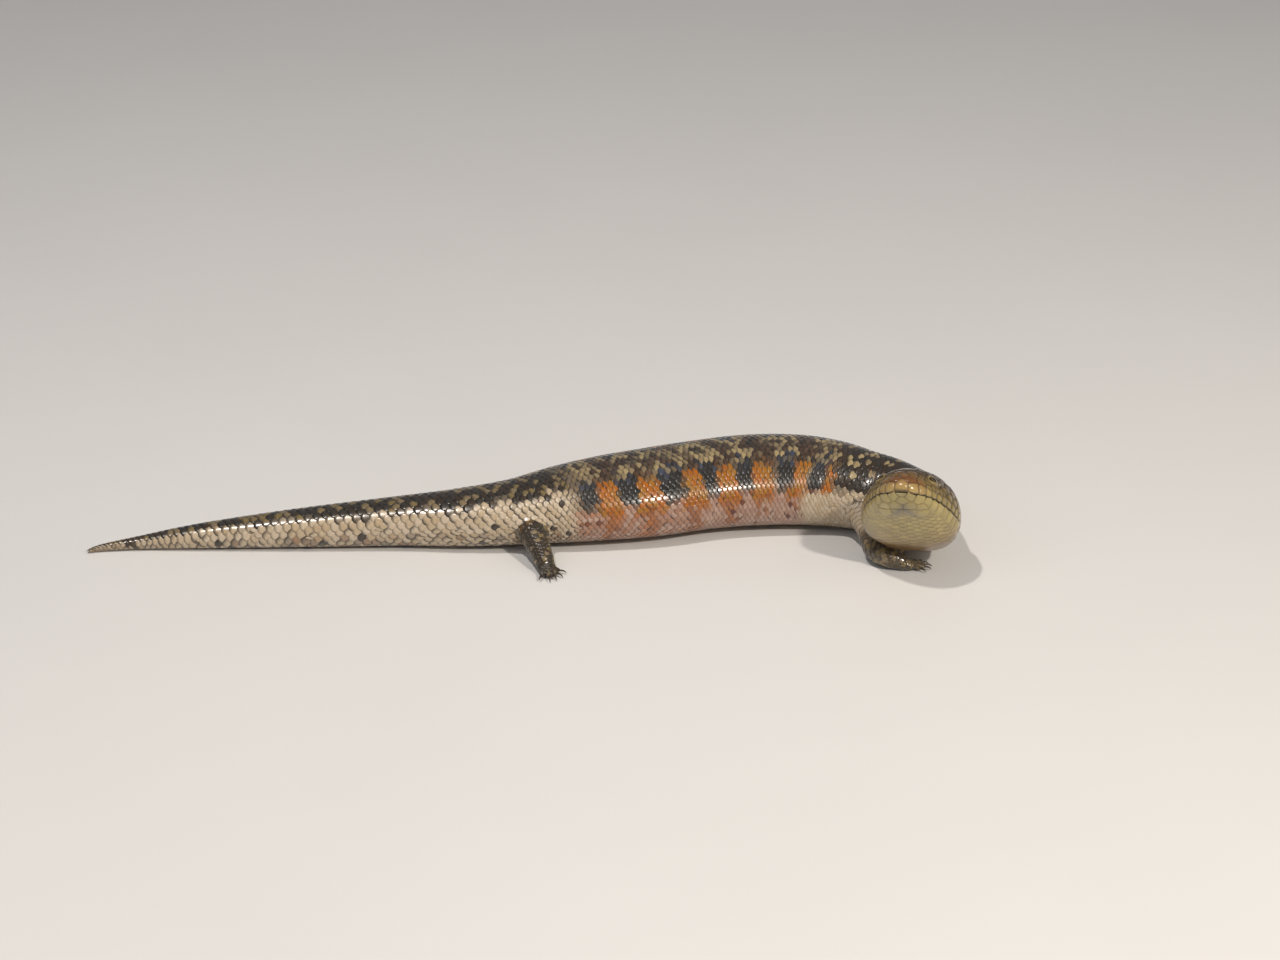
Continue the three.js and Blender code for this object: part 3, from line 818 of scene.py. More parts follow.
# Stations along the body, and the stations and half widths of its dark bars and orange patches.
STATION_LENGTHS = [0, 56, 153, 182, 208, 232, 253, 277, 303, 327, 350, 368, 384, 399, 560]
STATIONS = [84, 198, 398, 458, 515, 565, 610, 661, 711, 754, 793, 820, 850, 873, 1190]
BARS = [(592, 8), (632, 10), (672, 10.5), (710, 8), (747, 7.5), (787, 8), (821, 8), (851, 8)]
GLOWS = [(611, 10), (651, 11), (690, 11), (728, 10), (764, 9), (800, 9), (832, 6)]
NECK_STATIONS = (834, 846)
TAIL_STATIONS = (566, 584)
CORNER_DEPTH = 0.85
LEFT_SHIFT = 9  # how far the left side's markings stand ahead of the right's
HEAD_LIMIT = 425  # no dark corners from here on along the axis


def wave(along: np.ndarray, across: np.ndarray, size: float, seed: float) -> np.ndarray:
    """A slow unevenness between -1 and 1."""
    a, b = along / size + seed, across / size * 1.7 - seed
    return (np.sin(a + 2.1 * np.sin(b)) + np.sin(1.7 * b - 0.6 * a) + np.sin(2.3 * a + b)) / 3


def band(value: np.ndarray, low: float, high: float, soft: float) -> np.ndarray:
    """1 between two ends and 0 outside, soft at each."""
    return smooth(value, low - soft, low + soft) * (1 - smooth(value, high - soft, high + soft))


Tint = np.ndarray


class Hide:
    """The scales of the tail, trunk and neck while they are coloured.

    Each has its station along the body, how low it is, 0 on the back and 0.5 on the belly, and eight draws
    of its own between 0 and 1. Both places waver a little, so that no marking has a straight edge.
    """

    def __init__(self, lay: Lay, draws: np.ndarray) -> None:
        """Args: lay is the scales; draws has a row for each draw."""
        near = np.minimum(lay.share % 1, 1 - lay.share % 1)
        right = lay.share % 1 > 0.5
        self.lay = lay
        self.draws = draws
        self.station = np.interp(lay.length_at, STATION_LENGTHS, STATIONS) + np.where(right, 0, LEFT_SHIFT)
        self.place = near * 300 + np.where(right, 0, 900)
        self.low = near + 0.012 * wave(self.station, self.place, 6, 1.3) + 0.008 * (draws[0] - 0.5)
        self.along = self.station + 2.2 * wave(self.station, self.place, 7, 4.1) + 2.5 * (draws[1] - 0.5)
        self.tint = mixed(Paint.ROSE, Paint.PALE, draws[2])
        self.edge = mixed(self.tint, Paint.MAUVE, 0.5)

    def put(self, cover: np.ndarray, first: Tint, second: Tint, rim: Tint, part: float) -> None:
        """Lays a colour over the scales.

        Args:
            cover: how much of each scale's colour it takes, up to 1.
            first: the colour where the scale's own draw is 0.
            second: the colour where that draw is 1.
            rim: the colour that the rims of the scales lean to.
            part: how far they lean to it.
        """
        share = np.clip(cover, 0, 1)
        new = mixed(first, second, self.draws[3])
        self.tint = mixed(self.tint, new, share)
        self.edge = mixed(self.edge, mixed(new, rim, part), share)

    def patch(self, centre: float, half: float, soft: float) -> np.ndarray:
        """1 within half a width of a station, and 0 beyond."""
        return 1 - smooth(np.abs(self.along - centre), half - soft, half + soft)


@dataclass
class Markings:
    """Chooses each scale's colour from its place along and round the body."""

    rng: np.random.Generator

    def body(self, lay: Lay) -> None:
        """Colours the scales of the tail, trunk, neck and throat."""
        hide = Hide(lay, self.rng.random((8, len(lay.share))))
        self._belly(hide)
        self._glows(hide)
        self._bars(hide)
        self._neck(hide)
        ragged = 0.115 + 0.03 * wave(hide.station, hide.place * 0, 9, 0.4) + 0.04 * (hide.draws[6] - 0.5)
        jag = hide.low - ragged
        self._tail(hide, jag)
        self._throat(hide)
        self._corners(hide, jag)
        lay.tint, lay.edge = hide.tint, hide.edge

    @staticmethod
    def _belly(hide: Hide) -> None:
        """The cream belly, the dun upper side, and the rusty clouds of the lower flank."""
        low, along = hide.low, hide.along
        hide.put(smooth(low, 0.33, 0.4), Paint.CREAM, Paint.BLUSH, Paint.MAUVE, 0.4)
        hide.put(1 - smooth(low, 0.185, 0.215), Paint.MAUVE, Paint.DUN, Paint.SOOT, 0.55)
        cloud = smooth(wave(along + 40, hide.place, 5.5, 3.3) + 0.5 * (hide.draws[4] - 0.5), -0.25, 0.35)
        blush = (1 - 0.75 * smooth(along, 640, 730)) * smooth(along, 540, 575) * band(low, 0.2, 0.4, 0.02)
        hide.put(0.5 * blush * cloud, Paint.RUST, Paint.ORANGE, Paint.UMBER, 0.35)

    @staticmethod
    def _glows(hide: Hide) -> None:
        """The orange patches of the flank, and the drips below them."""
        low, along, place = hide.low, hide.along, hide.place
        for centre, half in GLOWS:
            swell = np.abs(along - centre) - 34 * (low - 0.14)
            inside = (1 - smooth(swell, half - 1.5, half + 2.5)) * band(low, 0.1, 0.235, 0.018)
            hide.put(inside, Paint.ORANGE, Paint.OCHRE, Paint.UMBER, 0.5)
            end = 0.37 - 0.1 * smooth(along, 690, 790)
            sway = hide.patch(centre + 5 * wave(place, hide.station, 9, 2.2), half * 0.8, 3)
            drip = sway * band(low, 0.22, end, 0.015) * (hide.draws[4] < 0.82)
            hide.put(0.85 * drip, Paint.RUST, Paint.ORANGE, Paint.UMBER, 0.4)

    @staticmethod
    def _bars(hide: Hide) -> None:
        """The brown back, the dark bars of the flank with a painted sheen of slate on their upper part, and
        the khaki flecks between them.
        """
        low, draws = hide.low, hide.draws
        hide.put(1 - smooth(low, 0.085, 0.115), Paint.UMBER, Paint.MAUVE, Paint.SOOT, 0.6)
        for centre, half in BARS:
            inside = hide.patch(centre, half * 1.05, 2) * band(low, 0.045, 0.198, 0.014)
            # painted sheen: the upper part of each bar is slate blue, and the lower part is its own charcoal
            # and soot
            hide.put(inside * (1 - smooth(low, 0.12, 0.16)), Paint.SLATE, Paint.CHARCOAL, Paint.SOOT, 0.5)
            hide.put(inside * smooth(low, 0.1, 0.14), Paint.CHARCOAL, Paint.SOOT, Paint.SOOT, 0.4)
            cap = hide.patch(centre + 3, half + 6, 3) * (1 - smooth(low, 0.078, 0.092)) * (draws[4] < 0.64)
            hide.put(cap, Paint.KHAKI, Paint.DUN, Paint.UMBER, 0.75)
        ridge = (1 - smooth(low, 0.01, 0.02)) * (draws[5] < 0.5) * 0.8
        hide.put(ridge, Paint.CHARCOAL, Paint.UMBER, Paint.SOOT, 0.5)
        flecks = (draws[5] > 0.955) * band(low, 0.2, 0.42, 0.01)
        hide.put(flecks, Paint.RUST, Paint.BLOOD, Paint.SOOT, 0.4)

    @staticmethod
    def _neck(hide: Hide) -> None:
        """The pale side of the shoulder and neck, and the dark nape with its flecks."""
        low = hide.low
        shoulder = smooth(hide.along, 798, 814) * smooth(low, 0.2, 0.215)
        hide.put(shoulder, Paint.SAND, Paint.CREAM, Paint.DUN, 0.4)
        neck = smooth(hide.along, *NECK_STATIONS)
        hide.put(neck * smooth(low, 0.17, 0.18), Paint.SAND, Paint.CREAM, Paint.DUN, 0.4)
        hide.put(neck * (1 - smooth(low, 0.18, 0.2)), Paint.UMBER, Paint.CHARCOAL, Paint.SOOT, 0.5)
        flecks = neck * (low < 0.15) * (hide.draws[4] < 0.25)
        hide.put(flecks, Paint.KHAKI, Paint.DUN, Paint.UMBER, 0.7)

    @staticmethod
    def _tail(hide: Hide, jag: np.ndarray) -> None:
        """The pale tail, its dark ragged back and its rusty lower side.

        Args:
            hide: the scales.
            jag: how far each is below the ragged edge of the dark back.
        """
        along, draws = hide.along, hide.draws
        tail = 1 - smooth(along, *TAIL_STATIONS)
        hide.put(tail, Paint.SAND, Paint.CREAM, Paint.UMBER, 0.45)
        hide.put(tail * (draws[4] < 0.03), Paint.CHARCOAL, Paint.UMBER, Paint.SOOT, 0.4)
        rusty = band(hide.low, 0.27, 0.43, 0.02) * (draws[4] > 0.68) * smooth(along, 190, 240)
        hide.put(0.55 * tail * rusty, Paint.RUST, Paint.UMBER, Paint.SOOT, 0.5)
        hide.put(tail * (1 - smooth(jag, -0.01, 0.012)), Paint.CHARCOAL, Paint.UMBER, Paint.SOOT, 0.6)
        hide.put(tail * (jag < -0.01) * (draws[4] < 0.42), Paint.DUN, Paint.OLIVE, Paint.CHARCOAL, 0.7)
        hide.put(0.5 * (1 - smooth(along, 84, 190)), Paint.MAUVE, Paint.DUN, Paint.SOOT, 0.5)

    @staticmethod
    def _throat(hide: Hide) -> None:
        """Colours the scales under and beside the head, and thins those under it."""
        lay = hide.lay
        behind, left, above = np.moveaxis(HEAD.measure(lay.roots()[0]), -1, 0)
        head = smooth(-behind, -62, -50) * (lay.form.at_length(lay.length_at) > HEAD_FIRST - 2)
        under = head * (1 - smooth(above - mouth_rise(behind), -5, -1))
        low = mixed(Paint.THROAT, Paint.THROAT_LOW, smooth(behind, 20, 46))
        low = mixed(low, Paint.CHEEK, 0.35 * smooth(np.abs(left), 14, 23))
        low = mixed(low, Paint.SLATE, throat_shadow(behind, left)) * (0.86 + 0.28 * hide.draws[0])[:, None]
        hide.tint = mixed(hide.tint, low, under)
        hide.edge = mixed(hide.edge, mixed(low, Paint.UMBER, 0.2), under)
        lay.thick = lay.thick * (1 - 0.45 * under)
        over = head * (1 - under) * smooth(-behind, -52, -40)
        high = mixed(Paint.CHEEK, Paint.CROWN, smooth(above, 2, 13)) * (0.8 + 0.4 * hide.draws[1])[:, None]
        hide.tint = mixed(hide.tint, high, over)
        hide.edge = mixed(hide.edge, mixed(high, Paint.SEAM, 0.6), over)

    @staticmethod
    def _corners(hide: Hide, jag: np.ndarray) -> None:
        """Gives some scales a dark hind corner, more of them on the tail."""
        low, draws = hide.low, hide.draws
        tail = 1 - smooth(hide.along, *TAIL_STATIONS)
        neck = smooth(hide.along, *NECK_STATIONS)
        often = 0.1 + tail * (0.2 + 0.6 * (1 - smooth(jag, 0.01, 0.07)) + 0.45 * smooth(low, 0.24, 0.3))
        often += 0.35 * (1 - tail) * (low < 0.1) + 0.12 * neck * smooth(low, 0.2, 0.22)
        marked = (draws[7] < often) & (hide.lay.length_at < HEAD_LIMIT)
        hide.lay.dash = np.where(marked, np.where(draws[6] < 0.5, CORNER_DEPTH, -CORNER_DEPTH), 0)

    def leg(self, lay: Lay, fore: bool, limb: bool) -> None:
        """Colours the scales of a leg: pale at its root, then brown on a fore leg or dusky on a hind one."""
        r = self.rng.random((3, len(lay.share)))
        tint = mixed(Paint.DUN, Paint.OLIVE, r[0])
        deep = mixed(mixed(Paint.CHARCOAL, Paint.UMBER, r[0]), tint, 0.3 if fore else 0.05)
        dark = r[1] < (0.62 if fore else 0.84)
        tint[dark] = deep[dark]
        start = lay.length_at + 3 * (r[2] - 0.5)
        root = (1 - smooth(start, 20, 28)) if fore else 0.8 * (1 - smooth(start, 19, 25))
        pale = mixed(Paint.SAND, Paint.CREAM, r[1]) if fore else mixed(Paint.DUN, Paint.OCHRE, r[1])
        lay.tint = mixed(tint, pale, root * limb)
        lay.edge = mixed(lay.tint, Paint.SOOT, 0.5)
        lay.dash = np.where(r[2] < 0.3, 0.8, 0.0)


class Nodes:
    """A material's node tree, with short calls to add to it."""

    def __init__(self, name: str) -> None:
        """Args: name is the material's."""
        self.material = bpy.data.materials.new(name)
        self.material.use_nodes = True
        self.tree = self.material.node_tree
        self.inputs = self.tree.nodes["Principled BSDF"].inputs

    def add(self, kind: str, **settings: object) -> bpy.types.Node:
        """A new node; settings are its properties."""
        node = self.tree.nodes.new(kind)
        for key, value in settings.items():
            setattr(node, key, value)
        return node

    def link(self, source: bpy.types.NodeSocket, target: bpy.types.NodeSocket) -> None:
        """Joins two sockets."""
        self.tree.links.new(source, target)

    def noise(self, scale: float, detail: float = 3) -> bpy.types.NodeSocket:
        """Noise on the object's own coordinates."""
        where = self.add("ShaderNodeTexCoord")
        cloud = self.add("ShaderNodeTexNoise")
        cloud.inputs["Scale"].default_value = scale
        cloud.inputs["Detail"].default_value = detail
        self.link(where.outputs["Object"], cloud.inputs["Vector"])
        return cloud.outputs["Fac"]

    def vary(self, target: bpy.types.NodeSocket, scale: float, low: float, high: float) -> None:
        """Drives a socket by noise between two values."""
        change = self.add("ShaderNodeMapRange")
        self.link(self.noise(scale), change.inputs["Value"])
        change.inputs["To Min"].default_value = low
        change.inputs["To Max"].default_value = high
        self.link(change.outputs["Result"], target)

    def marked(self, scale: float) -> None:
        """Takes the base colour from the mesh's markings, a little uneven."""
        marks = self.add("ShaderNodeAttribute", attribute_name="markings")
        shade = self.add("ShaderNodeHueSaturation")
        self.link(marks.outputs["Color"], shade.inputs["Color"])
        self.vary(shade.inputs["Value"], scale, 0.7, 1.3)
        self.link(shade.outputs["Color"], self.inputs["Base Color"])

    def bump(self, scale: float, detail: float, strength: float, distance: float) -> None:
        """Roughens the surface by noise."""
        bump = self.add("ShaderNodeBump")
        bump.inputs["Strength"].default_value = strength
        bump.inputs["Distance"].default_value = distance
        self.link(self.noise(scale, detail), bump.inputs["Height"])
        self.link(bump.outputs["Normal"], self.inputs["Normal"])


@dataclass(frozen=True)
class ScaleFinish:
    """Hard glossy scale, marked from its mesh and a little uneven inside each scale."""

    name: str = "scale_gloss"
    gloss: tuple[float, float] = (0.24, 0.42)
    coat: float = 1.0
    grain: float = 0.00006
    coat_rough: float = 0.2

    def material(self) -> bpy.types.Material:
        """The finish as a material."""
        nodes = Nodes(self.name)
        nodes.marked(1400)
        nodes.vary(nodes.inputs["Roughness"], 2600, *self.gloss)
        nodes.inputs["Coat Weight"].default_value = self.coat
        nodes.inputs["Coat Roughness"].default_value = self.coat_rough
        nodes.inputs["Specular IOR Level"].default_value = 0.35
        nodes.bump(5200, 4, 0.6, self.grain)
        return nodes.material


@dataclass(frozen=True)
class SkinFinish:
    """Soft skin that shows between the scales, dark from the painted shade in its markings."""

    name: str = "skin_between"
    dullness: tuple[float, float] = (0.5, 0.72)
    grain: float = 0.0002

    def material(self) -> bpy.types.Material:
        """The finish as a material."""
        nodes = Nodes(self.name)
        nodes.marked(900)
        nodes.vary(nodes.inputs["Roughness"], 1900, *self.dullness)
        nodes.bump(2200, 4, 0.7, self.grain)
        return nodes.material


@dataclass(frozen=True)
class PlainFinish:
    """A finish of two tints in patches, for claws and the floor."""

    name: str
    first: str
    second: str
    scale: float
    rough: tuple[float, float]
    grain: float = 0.0001

    def material(self) -> bpy.types.Material:
        """The finish as a material."""
        nodes = Nodes(self.name)
        blend = nodes.add("ShaderNodeMix", data_type="RGBA")
        blend.inputs[6].default_value = (*colour(self.first), 1)
        blend.inputs[7].default_value = (*colour(self.second), 1)
        nodes.link(nodes.noise(self.scale), blend.inputs[0])
        nodes.link(blend.outputs[2], nodes.inputs["Base Color"])
        nodes.vary(nodes.inputs["Roughness"], self.scale * 3, *self.rough)
        nodes.bump(self.scale * 6, 3, 0.4, self.grain)
        return nodes.material


# Places on the side of the head, as distances behind and above the front of the mouth line.
MOUTH_CORNER = 37.0
EYE_PLACE = (15.6, 8.5)
NOSTRIL_PLACE = (4.4, 7.6)
EAR_PLACE = (51.5, 1.6)
EYE_SIZE = 3.8
EYE_DEPTH = 2.25  # how far the eyeball's centre lies inside the sunk skin
HOLLOWS = ((EYE_PLACE, 3.4, 3.6), (EAR_PLACE, 2.2, 2.6), (NOSTRIL_PLACE, 0.9, 1.4))  # place, reach, depth
MOUTH_GROOVE = (1.2, 0.4, 0.5)  # half its width, and its depth at the sides and in front


def mouth_rise(behind: np.ndarray) -> np.ndarray:
    """How far the mouth line stands above its front, which is below it at the corner."""
    return -8.2 * smooth(behind, 4, 43)


def throat_shadow(behind: np.ndarray, left: np.ndarray) -> np.ndarray:
    """The share of slate in the soft forked shadow on the chin."""
    arm = np.exp(-((np.abs(left) - 0.9 * np.maximum(behind - 10, 0)) ** 2) / 5)
    return 0.7 * arm * smooth(behind, 4, 9) * (1 - smooth(behind, 11, 20))


RAY = 6.0  # how far outside the skin a search for it starts


@dataclass
class Face:
    """The head's skin as a fine mesh, and places on it by their distances from the snout."""

    body: Loft
    rings: int = 130
    sides: int = 200
    mesh: bpy.types.Mesh = field(init=False)
    tree: BVHTree = field(init=False)

    def __post_init__(self) -> None:
        """Makes the plain surface for finding places, and the finished skin with its hollows."""
        bm = tube(self.body, HEAD_FIRST - 0.6, SNOUT, self.rings, self.sides)
        places = HEAD.measure(places_of(bm.verts))
        for vert, place in zip(bm.verts, places):
            vert.co = place
        bmesh.ops.recalc_face_normals(bm, faces=bm.faces)
        self.tree = BVHTree.FromBMesh(bm)
        for vert, place in zip(bm.verts, places):
            vert.co = to_metres(HEAD.place(*self._hollowed(place)))
        bmesh.ops.recalc_face_normals(bm, faces=bm.faces)
        self.mesh = bpy.data.meshes.new("head_skin")
        bm.to_mesh(self.mesh)
        bm.free()

    def _hollowed(self, place: np.ndarray) -> np.ndarray:
        """A point of the skin, pushed in at the eyes, the mouth line and the ears."""
        behind, left, above = place
        side = 1 if left > 0 else -1
        moved = place.copy()
        gap = abs(above - mouth_rise(behind))
        half, beside, ahead = MOUTH_GROOVE
        if behind < MOUTH_CORNER + 1 and gap < half:
            moved[1] -= side * beside * (1 - gap / half)
            moved[0] += ahead * (1 - gap / half) * (1 - smooth(behind, 0, 8))
        for (back, up), reach, deep in HOLLOWS:
            away = math.hypot(behind - back, above - up)
            if abs(left) > 3 and away < reach * 1.5:
                moved[1] -= side * deep * (1 - smooth(away, reach * 0.6, reach * 1.5))
        return moved

    def spot(self, behind: float, above: float, side: Side) -> tuple[np.ndarray, np.ndarray]:
        """The place on the side of the head, in head distances, and its outward direction."""
        start = Vector((behind, 60 * side.value, above))
        found, out, _, _ = self.tree.ray_cast(start, Vector((0, -side.value, 0)))
        if found is None:
            found, out, _, _ = self.tree.find_nearest(Vector((behind, 4 * side.value, above)))
        return np.array(found), np.array(out)

    def top(self, behind: float, left: float) -> tuple[np.ndarray, np.ndarray]:
        """The place on the top of the head and its outward direction."""
        found, out, _, _ = self.tree.ray_cast(Vector((behind, left, 60)), Vector((0, 0, -1)))
        return np.array(found), np.array(out)

    def under(self, behind: float, left: float) -> tuple[np.ndarray, np.ndarray]:
        """The place on the underside of the head and its outward direction."""
        found, out, _, _ = self.tree.ray_cast(Vector((behind, left, -60)), Vector((0, 0, 1)))
        return np.array(found), np.array(out)

    def level(self, start: np.ndarray, out: np.ndarray, place: np.ndarray, other: float) -> float:
        """How far the skin under start stands out from place, or other where there is none."""
        hit, _, _, _ = self.tree.ray_cast(Vector(start + out * RAY), Vector(-out))
        return other if hit is None else float((np.array(hit) - place) @ out)

    def clear(self, points: np.ndarray) -> np.ndarray:
        """True where the overlapping rows of the neck reach, short of the head's shields."""
        behind, left, above = np.moveaxis(HEAD.measure(points), -1, 0)
        rise = mouth_rise(behind)
        top = (behind > 37.5) | (above < 10)
        side = (behind > 34.5) | (above < rise)
        seam = (np.abs(above - rise) > 3.2) | (behind > MOUTH_CORNER - 1.5)
        chin = (behind > 12.5) | (above > rise)
        eye = np.hypot(behind - EYE_PLACE[0], above - EYE_PLACE[1]) > 7
        ear = np.hypot((behind - EAR_PLACE[0]) / 2.7, (above - EAR_PLACE[1]) / 3.9) > 1
        return top & side & seam & chin & eye & ear


def turned(bm: bmesh.types.BMesh, place: np.ndarray, out: np.ndarray, up: np.ndarray) -> None:
    """Moves a shape drawn about the origin onto a place of the head, its Z outwards and its Y upwards.

    Args:
        bm: the shape in millimetres, left in metres of the part's frame.
        place: where its origin goes, as distances behind, left of and above the front of the mouth line.
        out: its outward direction in the same distances.
        up: the direction its Y leans to.
    """
    across = unit(np.cross(up, out))
    axes = np.array([across, np.cross(out, across), out])
    for vert in bm.verts:
        vert.co = to_metres(HEAD.place(*(place + np.array(vert.co) @ axes)))
    bmesh.ops.recalc_face_normals(bm, faces=bm.faces)


def flat_paint(mesh: bpy.types.Mesh, tint: np.ndarray) -> None:
    """One marking colour over a mesh."""
    count = len(mesh.vertices)
    paint(mesh, np.tile(tint, (count, 1)), np.zeros(count))


def soft_ring(segments: int, steps: int, laid: Callable[..., np.ndarray]) -> bmesh.types.BMesh:
    """A swollen ring laid round an opening.

    Args:
        segments: corners of its section.
        steps: corners of the ring.
        laid: the place of a point from its angle, its share of the way out and its height.

    Returns:
        The ring.
    """
    bm = bmesh.new()
    section = bmesh.ops.create_circle(bm, segments=segments, radius=1)["verts"]
    for vert in section:
        vert.co = (3 + vert.co.x, 0, vert.co.y)
    whole = list(section) + bm.edges[:]
    turn = {"cent": (0, 0, 0), "axis": (0, 0, 1), "angle": 2 * math.pi, "steps": steps}
    bmesh.ops.spin(bm, geom=whole, use_merge=True, **turn)
    bmesh.ops.remove_doubles(bm, verts=bm.verts, dist=1e-5)
    for vert in bm.verts:
        x, y, z = vert.co
        vert.co = laid(math.atan2(y, x), (math.hypot(x, y) - 2) / 2, z)
    bmesh.ops.recalc_face_normals(bm, faces=bm.faces)
    return bm


@dataclass
class Eyes:
    """The eyeballs, their lids and the ears."""

    face: Face
    open_long: float = 2.8
    open_high: float = 2.15
    lid_reach: float = 4.5
    rim_inner: tuple[float, float] = (1.5, 2.5)
    rim_width: tuple[float, float] = (1.5, 1.7)
    lobes: tuple[float, ...] = (0.6, 0.8, 0.95, 0.8, 0.6)
    beads_at: tuple[tuple[float, int, float], ...] = ((0.22, 28, 0.26), (0.5, 26, 0.36), (0.82, 24, 0.46))

    def ball(self, side: Side) -> bmesh.types.BMesh:
        """An eyeball in its socket."""
        place, out = self.face.spot(*EYE_PLACE, side)
        bm = bmesh.new()
        bmesh.ops.create_uvsphere(bm, u_segments=64, v_segments=40, radius=EYE_SIZE)
        turned(bm, place - out * EYE_DEPTH, out, UP)
        return bm

    def _lid_spot(self, side: Side, angle: float, share: float) -> tuple[np.ndarray, np.ndarray]:
        """A place on the lids, from their opening at share 0 to the skin round them at share 1.

        Args:
            side: which eye.
            angle: the way round the opening, in radians from its back corner.
            share: how far across the lid.

        Returns:
            The place in head distances, and the outward direction there.
        """
        place, out = self.face.spot(*EYE_PLACE, side)
        across = unit(np.cross(UP, out))
        up = np.cross(out, across)
        sine = math.sin(angle)
        high = self.open_high * abs(sine) ** 1.1 * np.sign(sine) * (0.85 if sine > 0 else 1.05)
        inner = np.array([self.open_long * math.cos(angle), high])
        outer = self.lid_reach * np.array([1.06 * math.cos(angle), sine])
        flat = inner + (outer - inner) * share
        gap = min(float(np.hypot(*flat)), EYE_SIZE)
        dome = math.sqrt(EYE_SIZE**2 - gap**2) - EYE_DEPTH
        start = place + across * flat[0] + up * flat[1]
        level = self.face.level(start, out, place, -1.0)
        blend = float(smooth(share, 0.15, 0.9))
        height = dome * (1 - blend) + level * blend
        return start + out * height, unit(out + 0.25 * (across * flat[0] + up * flat[1]) / self.lid_reach)

    def lids(self, side: Side) -> bmesh.types.BMesh:
        """The two lids as one soft ring round the eye, its edge a fine swollen rim."""

        def laid(angle: float, share: float, rise: float) -> np.ndarray:
            """A point of the lids in metres."""
            spot, away = self._lid_spot(side, angle, share)
            thick = 0.34 + 0.2 * (1 - float(smooth(share, 0, 0.3)))
            lift = 0.1 - 0.5 * float(smooth(share, 0.6, 1))
            return to_metres(HEAD.place(*(spot + away * (thick * rise + lift))))

        return soft_ring(16, 80, laid)

    def beads(self, side: Side) -> bmesh.types.BMesh:
        """The small granular scales on the lids."""
        bm = bmesh.new()
        for ring, (share, count, size) in enumerate(self.beads_at):
            for number in range(count):
                angle = 2 * math.pi * (number + 0.5 * (ring % 2)) / count
                spot, away = self._lid_spot(side, angle, share)
                made = bmesh.ops.create_icosphere(bm, subdivisions=2, radius=size)["verts"]
                for vert in made:
                    offset = np.array(vert.co)
                    offset -= away * (offset @ away) * 0.45
                    vert.co = to_metres(HEAD.place(*(spot + away * (0.3 - 0.2 * share) + offset)))
        bmesh.ops.recalc_face_normals(bm, faces=bm.faces)
        return bm

    def ear(self, side: Side) -> bmesh.types.BMesh:
        """The drum at the bottom of the ear."""
        place, out = self.face.spot(*EAR_PLACE, side)
        bm = bmesh.new()
        bmesh.ops.create_uvsphere(bm, u_segments=32, v_segments=16, radius=1)
        bmesh.ops.scale(bm, vec=(1.9, 3.1, 0.6), verts=bm.verts)
        turned(bm, place - out * 2.5, out, UP)
        return bm

    def ear_rim(self, side: Side) -> bmesh.types.BMesh:
        """The swollen rim round the ear, with its row of small lobes."""
        place, out = self.face.spot(*EAR_PLACE, side)
        across = unit(np.cross(UP, out))
        up = np.cross(out, across)

        def laid(angle: float, share: float, rise: float, thick: float = 0.45) -> np.ndarray:
            """A point on the rim in metres, from its inner edge at share 0 to its outer at 1."""
            reach = np.array(self.rim_inner) + np.array(self.rim_width) * share
            start = place + across * (reach[0] * math.cos(angle)) + up * (reach[1] * math.sin(angle))
            level = self.face.level(start, out, place, 0.0)
            return to_metres(HEAD.place(*(start + out * (level + thick * rise + 0.25 - 0.45 * share))))

        bm = soft_ring(14, 60, laid)
        front = 0 if side is Side.LEFT else math.pi
        for number, size in enumerate(self.lobes):
            middle = Vector(laid(front + 0.42 * (number - 2), 0.35, 0.0075, 1.0))
            made = bmesh.ops.create_icosphere(bm, subdivisions=3, radius=size * MM)["verts"]
            bmesh.ops.translate(bm, verts=made, vec=middle)
        bmesh.ops.recalc_face_normals(bm, faces=bm.faces)
        return bm

    def ball_mesh(self, side: Side) -> bpy.types.Mesh:
        """The eyeball, coloured with pupil, iris and a dark rim."""
        mesh = joined(f"eyeball_{side.name.lower()}", [self.ball(side)])
        place, out = self.face.spot(*EYE_PLACE, side)
        centre = place - out * EYE_DEPTH
        points = HEAD.measure(places_of(mesh.vertices))
        apart = np.degrees(np.arccos(np.clip(unit(points - centre) @ out, -1, 1)))
        iris = mixed(colour("5a4a2a"), colour("2a2014"), smooth(apart, 22, 38))
        tint = mixed(colour("070605"), iris, smooth(apart, 17, 20))
        tint = mixed(tint, colour("0d0a08"), smooth(apart, 38, 44))
        paint(mesh, tint, np.zeros(len(tint)))
        return mesh


@dataclass(frozen=True)
class Seed:
    """The middle of one head shield: where it lies, how large it is beside its neighbours, and its tint."""

    place: tuple[float, float, float]
    out: tuple[float, float, float]
    size: float
    tint: tuple[float, float, float]
    lip: bool = False
    nostril: bool = False


# Head shields as distances behind and left of the front of the mouth line, then size.
TOP_SHIELDS = [
    *[(6.4, 0, 2.5), (10.6, 3.3, 2.3), (16.6, 0, 3.6), (12.2, 7.4, 1.7), (15.4, 7.2, 2.2)],
    *[(19.2, 7.4, 2.2), (22.6, 8.2, 1.8), (22.2, 2.9, 2.2), (27.2, 0, 2.4), (28.6, 6.2, 3.2)],
    *[(34.2, 3.9, 2.8), (26.2, 12.2, 2.1), (30.8, 13.2, 2.2), (35.4, 10.2, 2.4), (11.2, 10.3, 1.1)],
    *[(13.6, 11.0, 1.1), (16.0, 11.6, 1.1), (18.4, 12.0, 1.1), (20.8, 12.3, 1.2)],
]
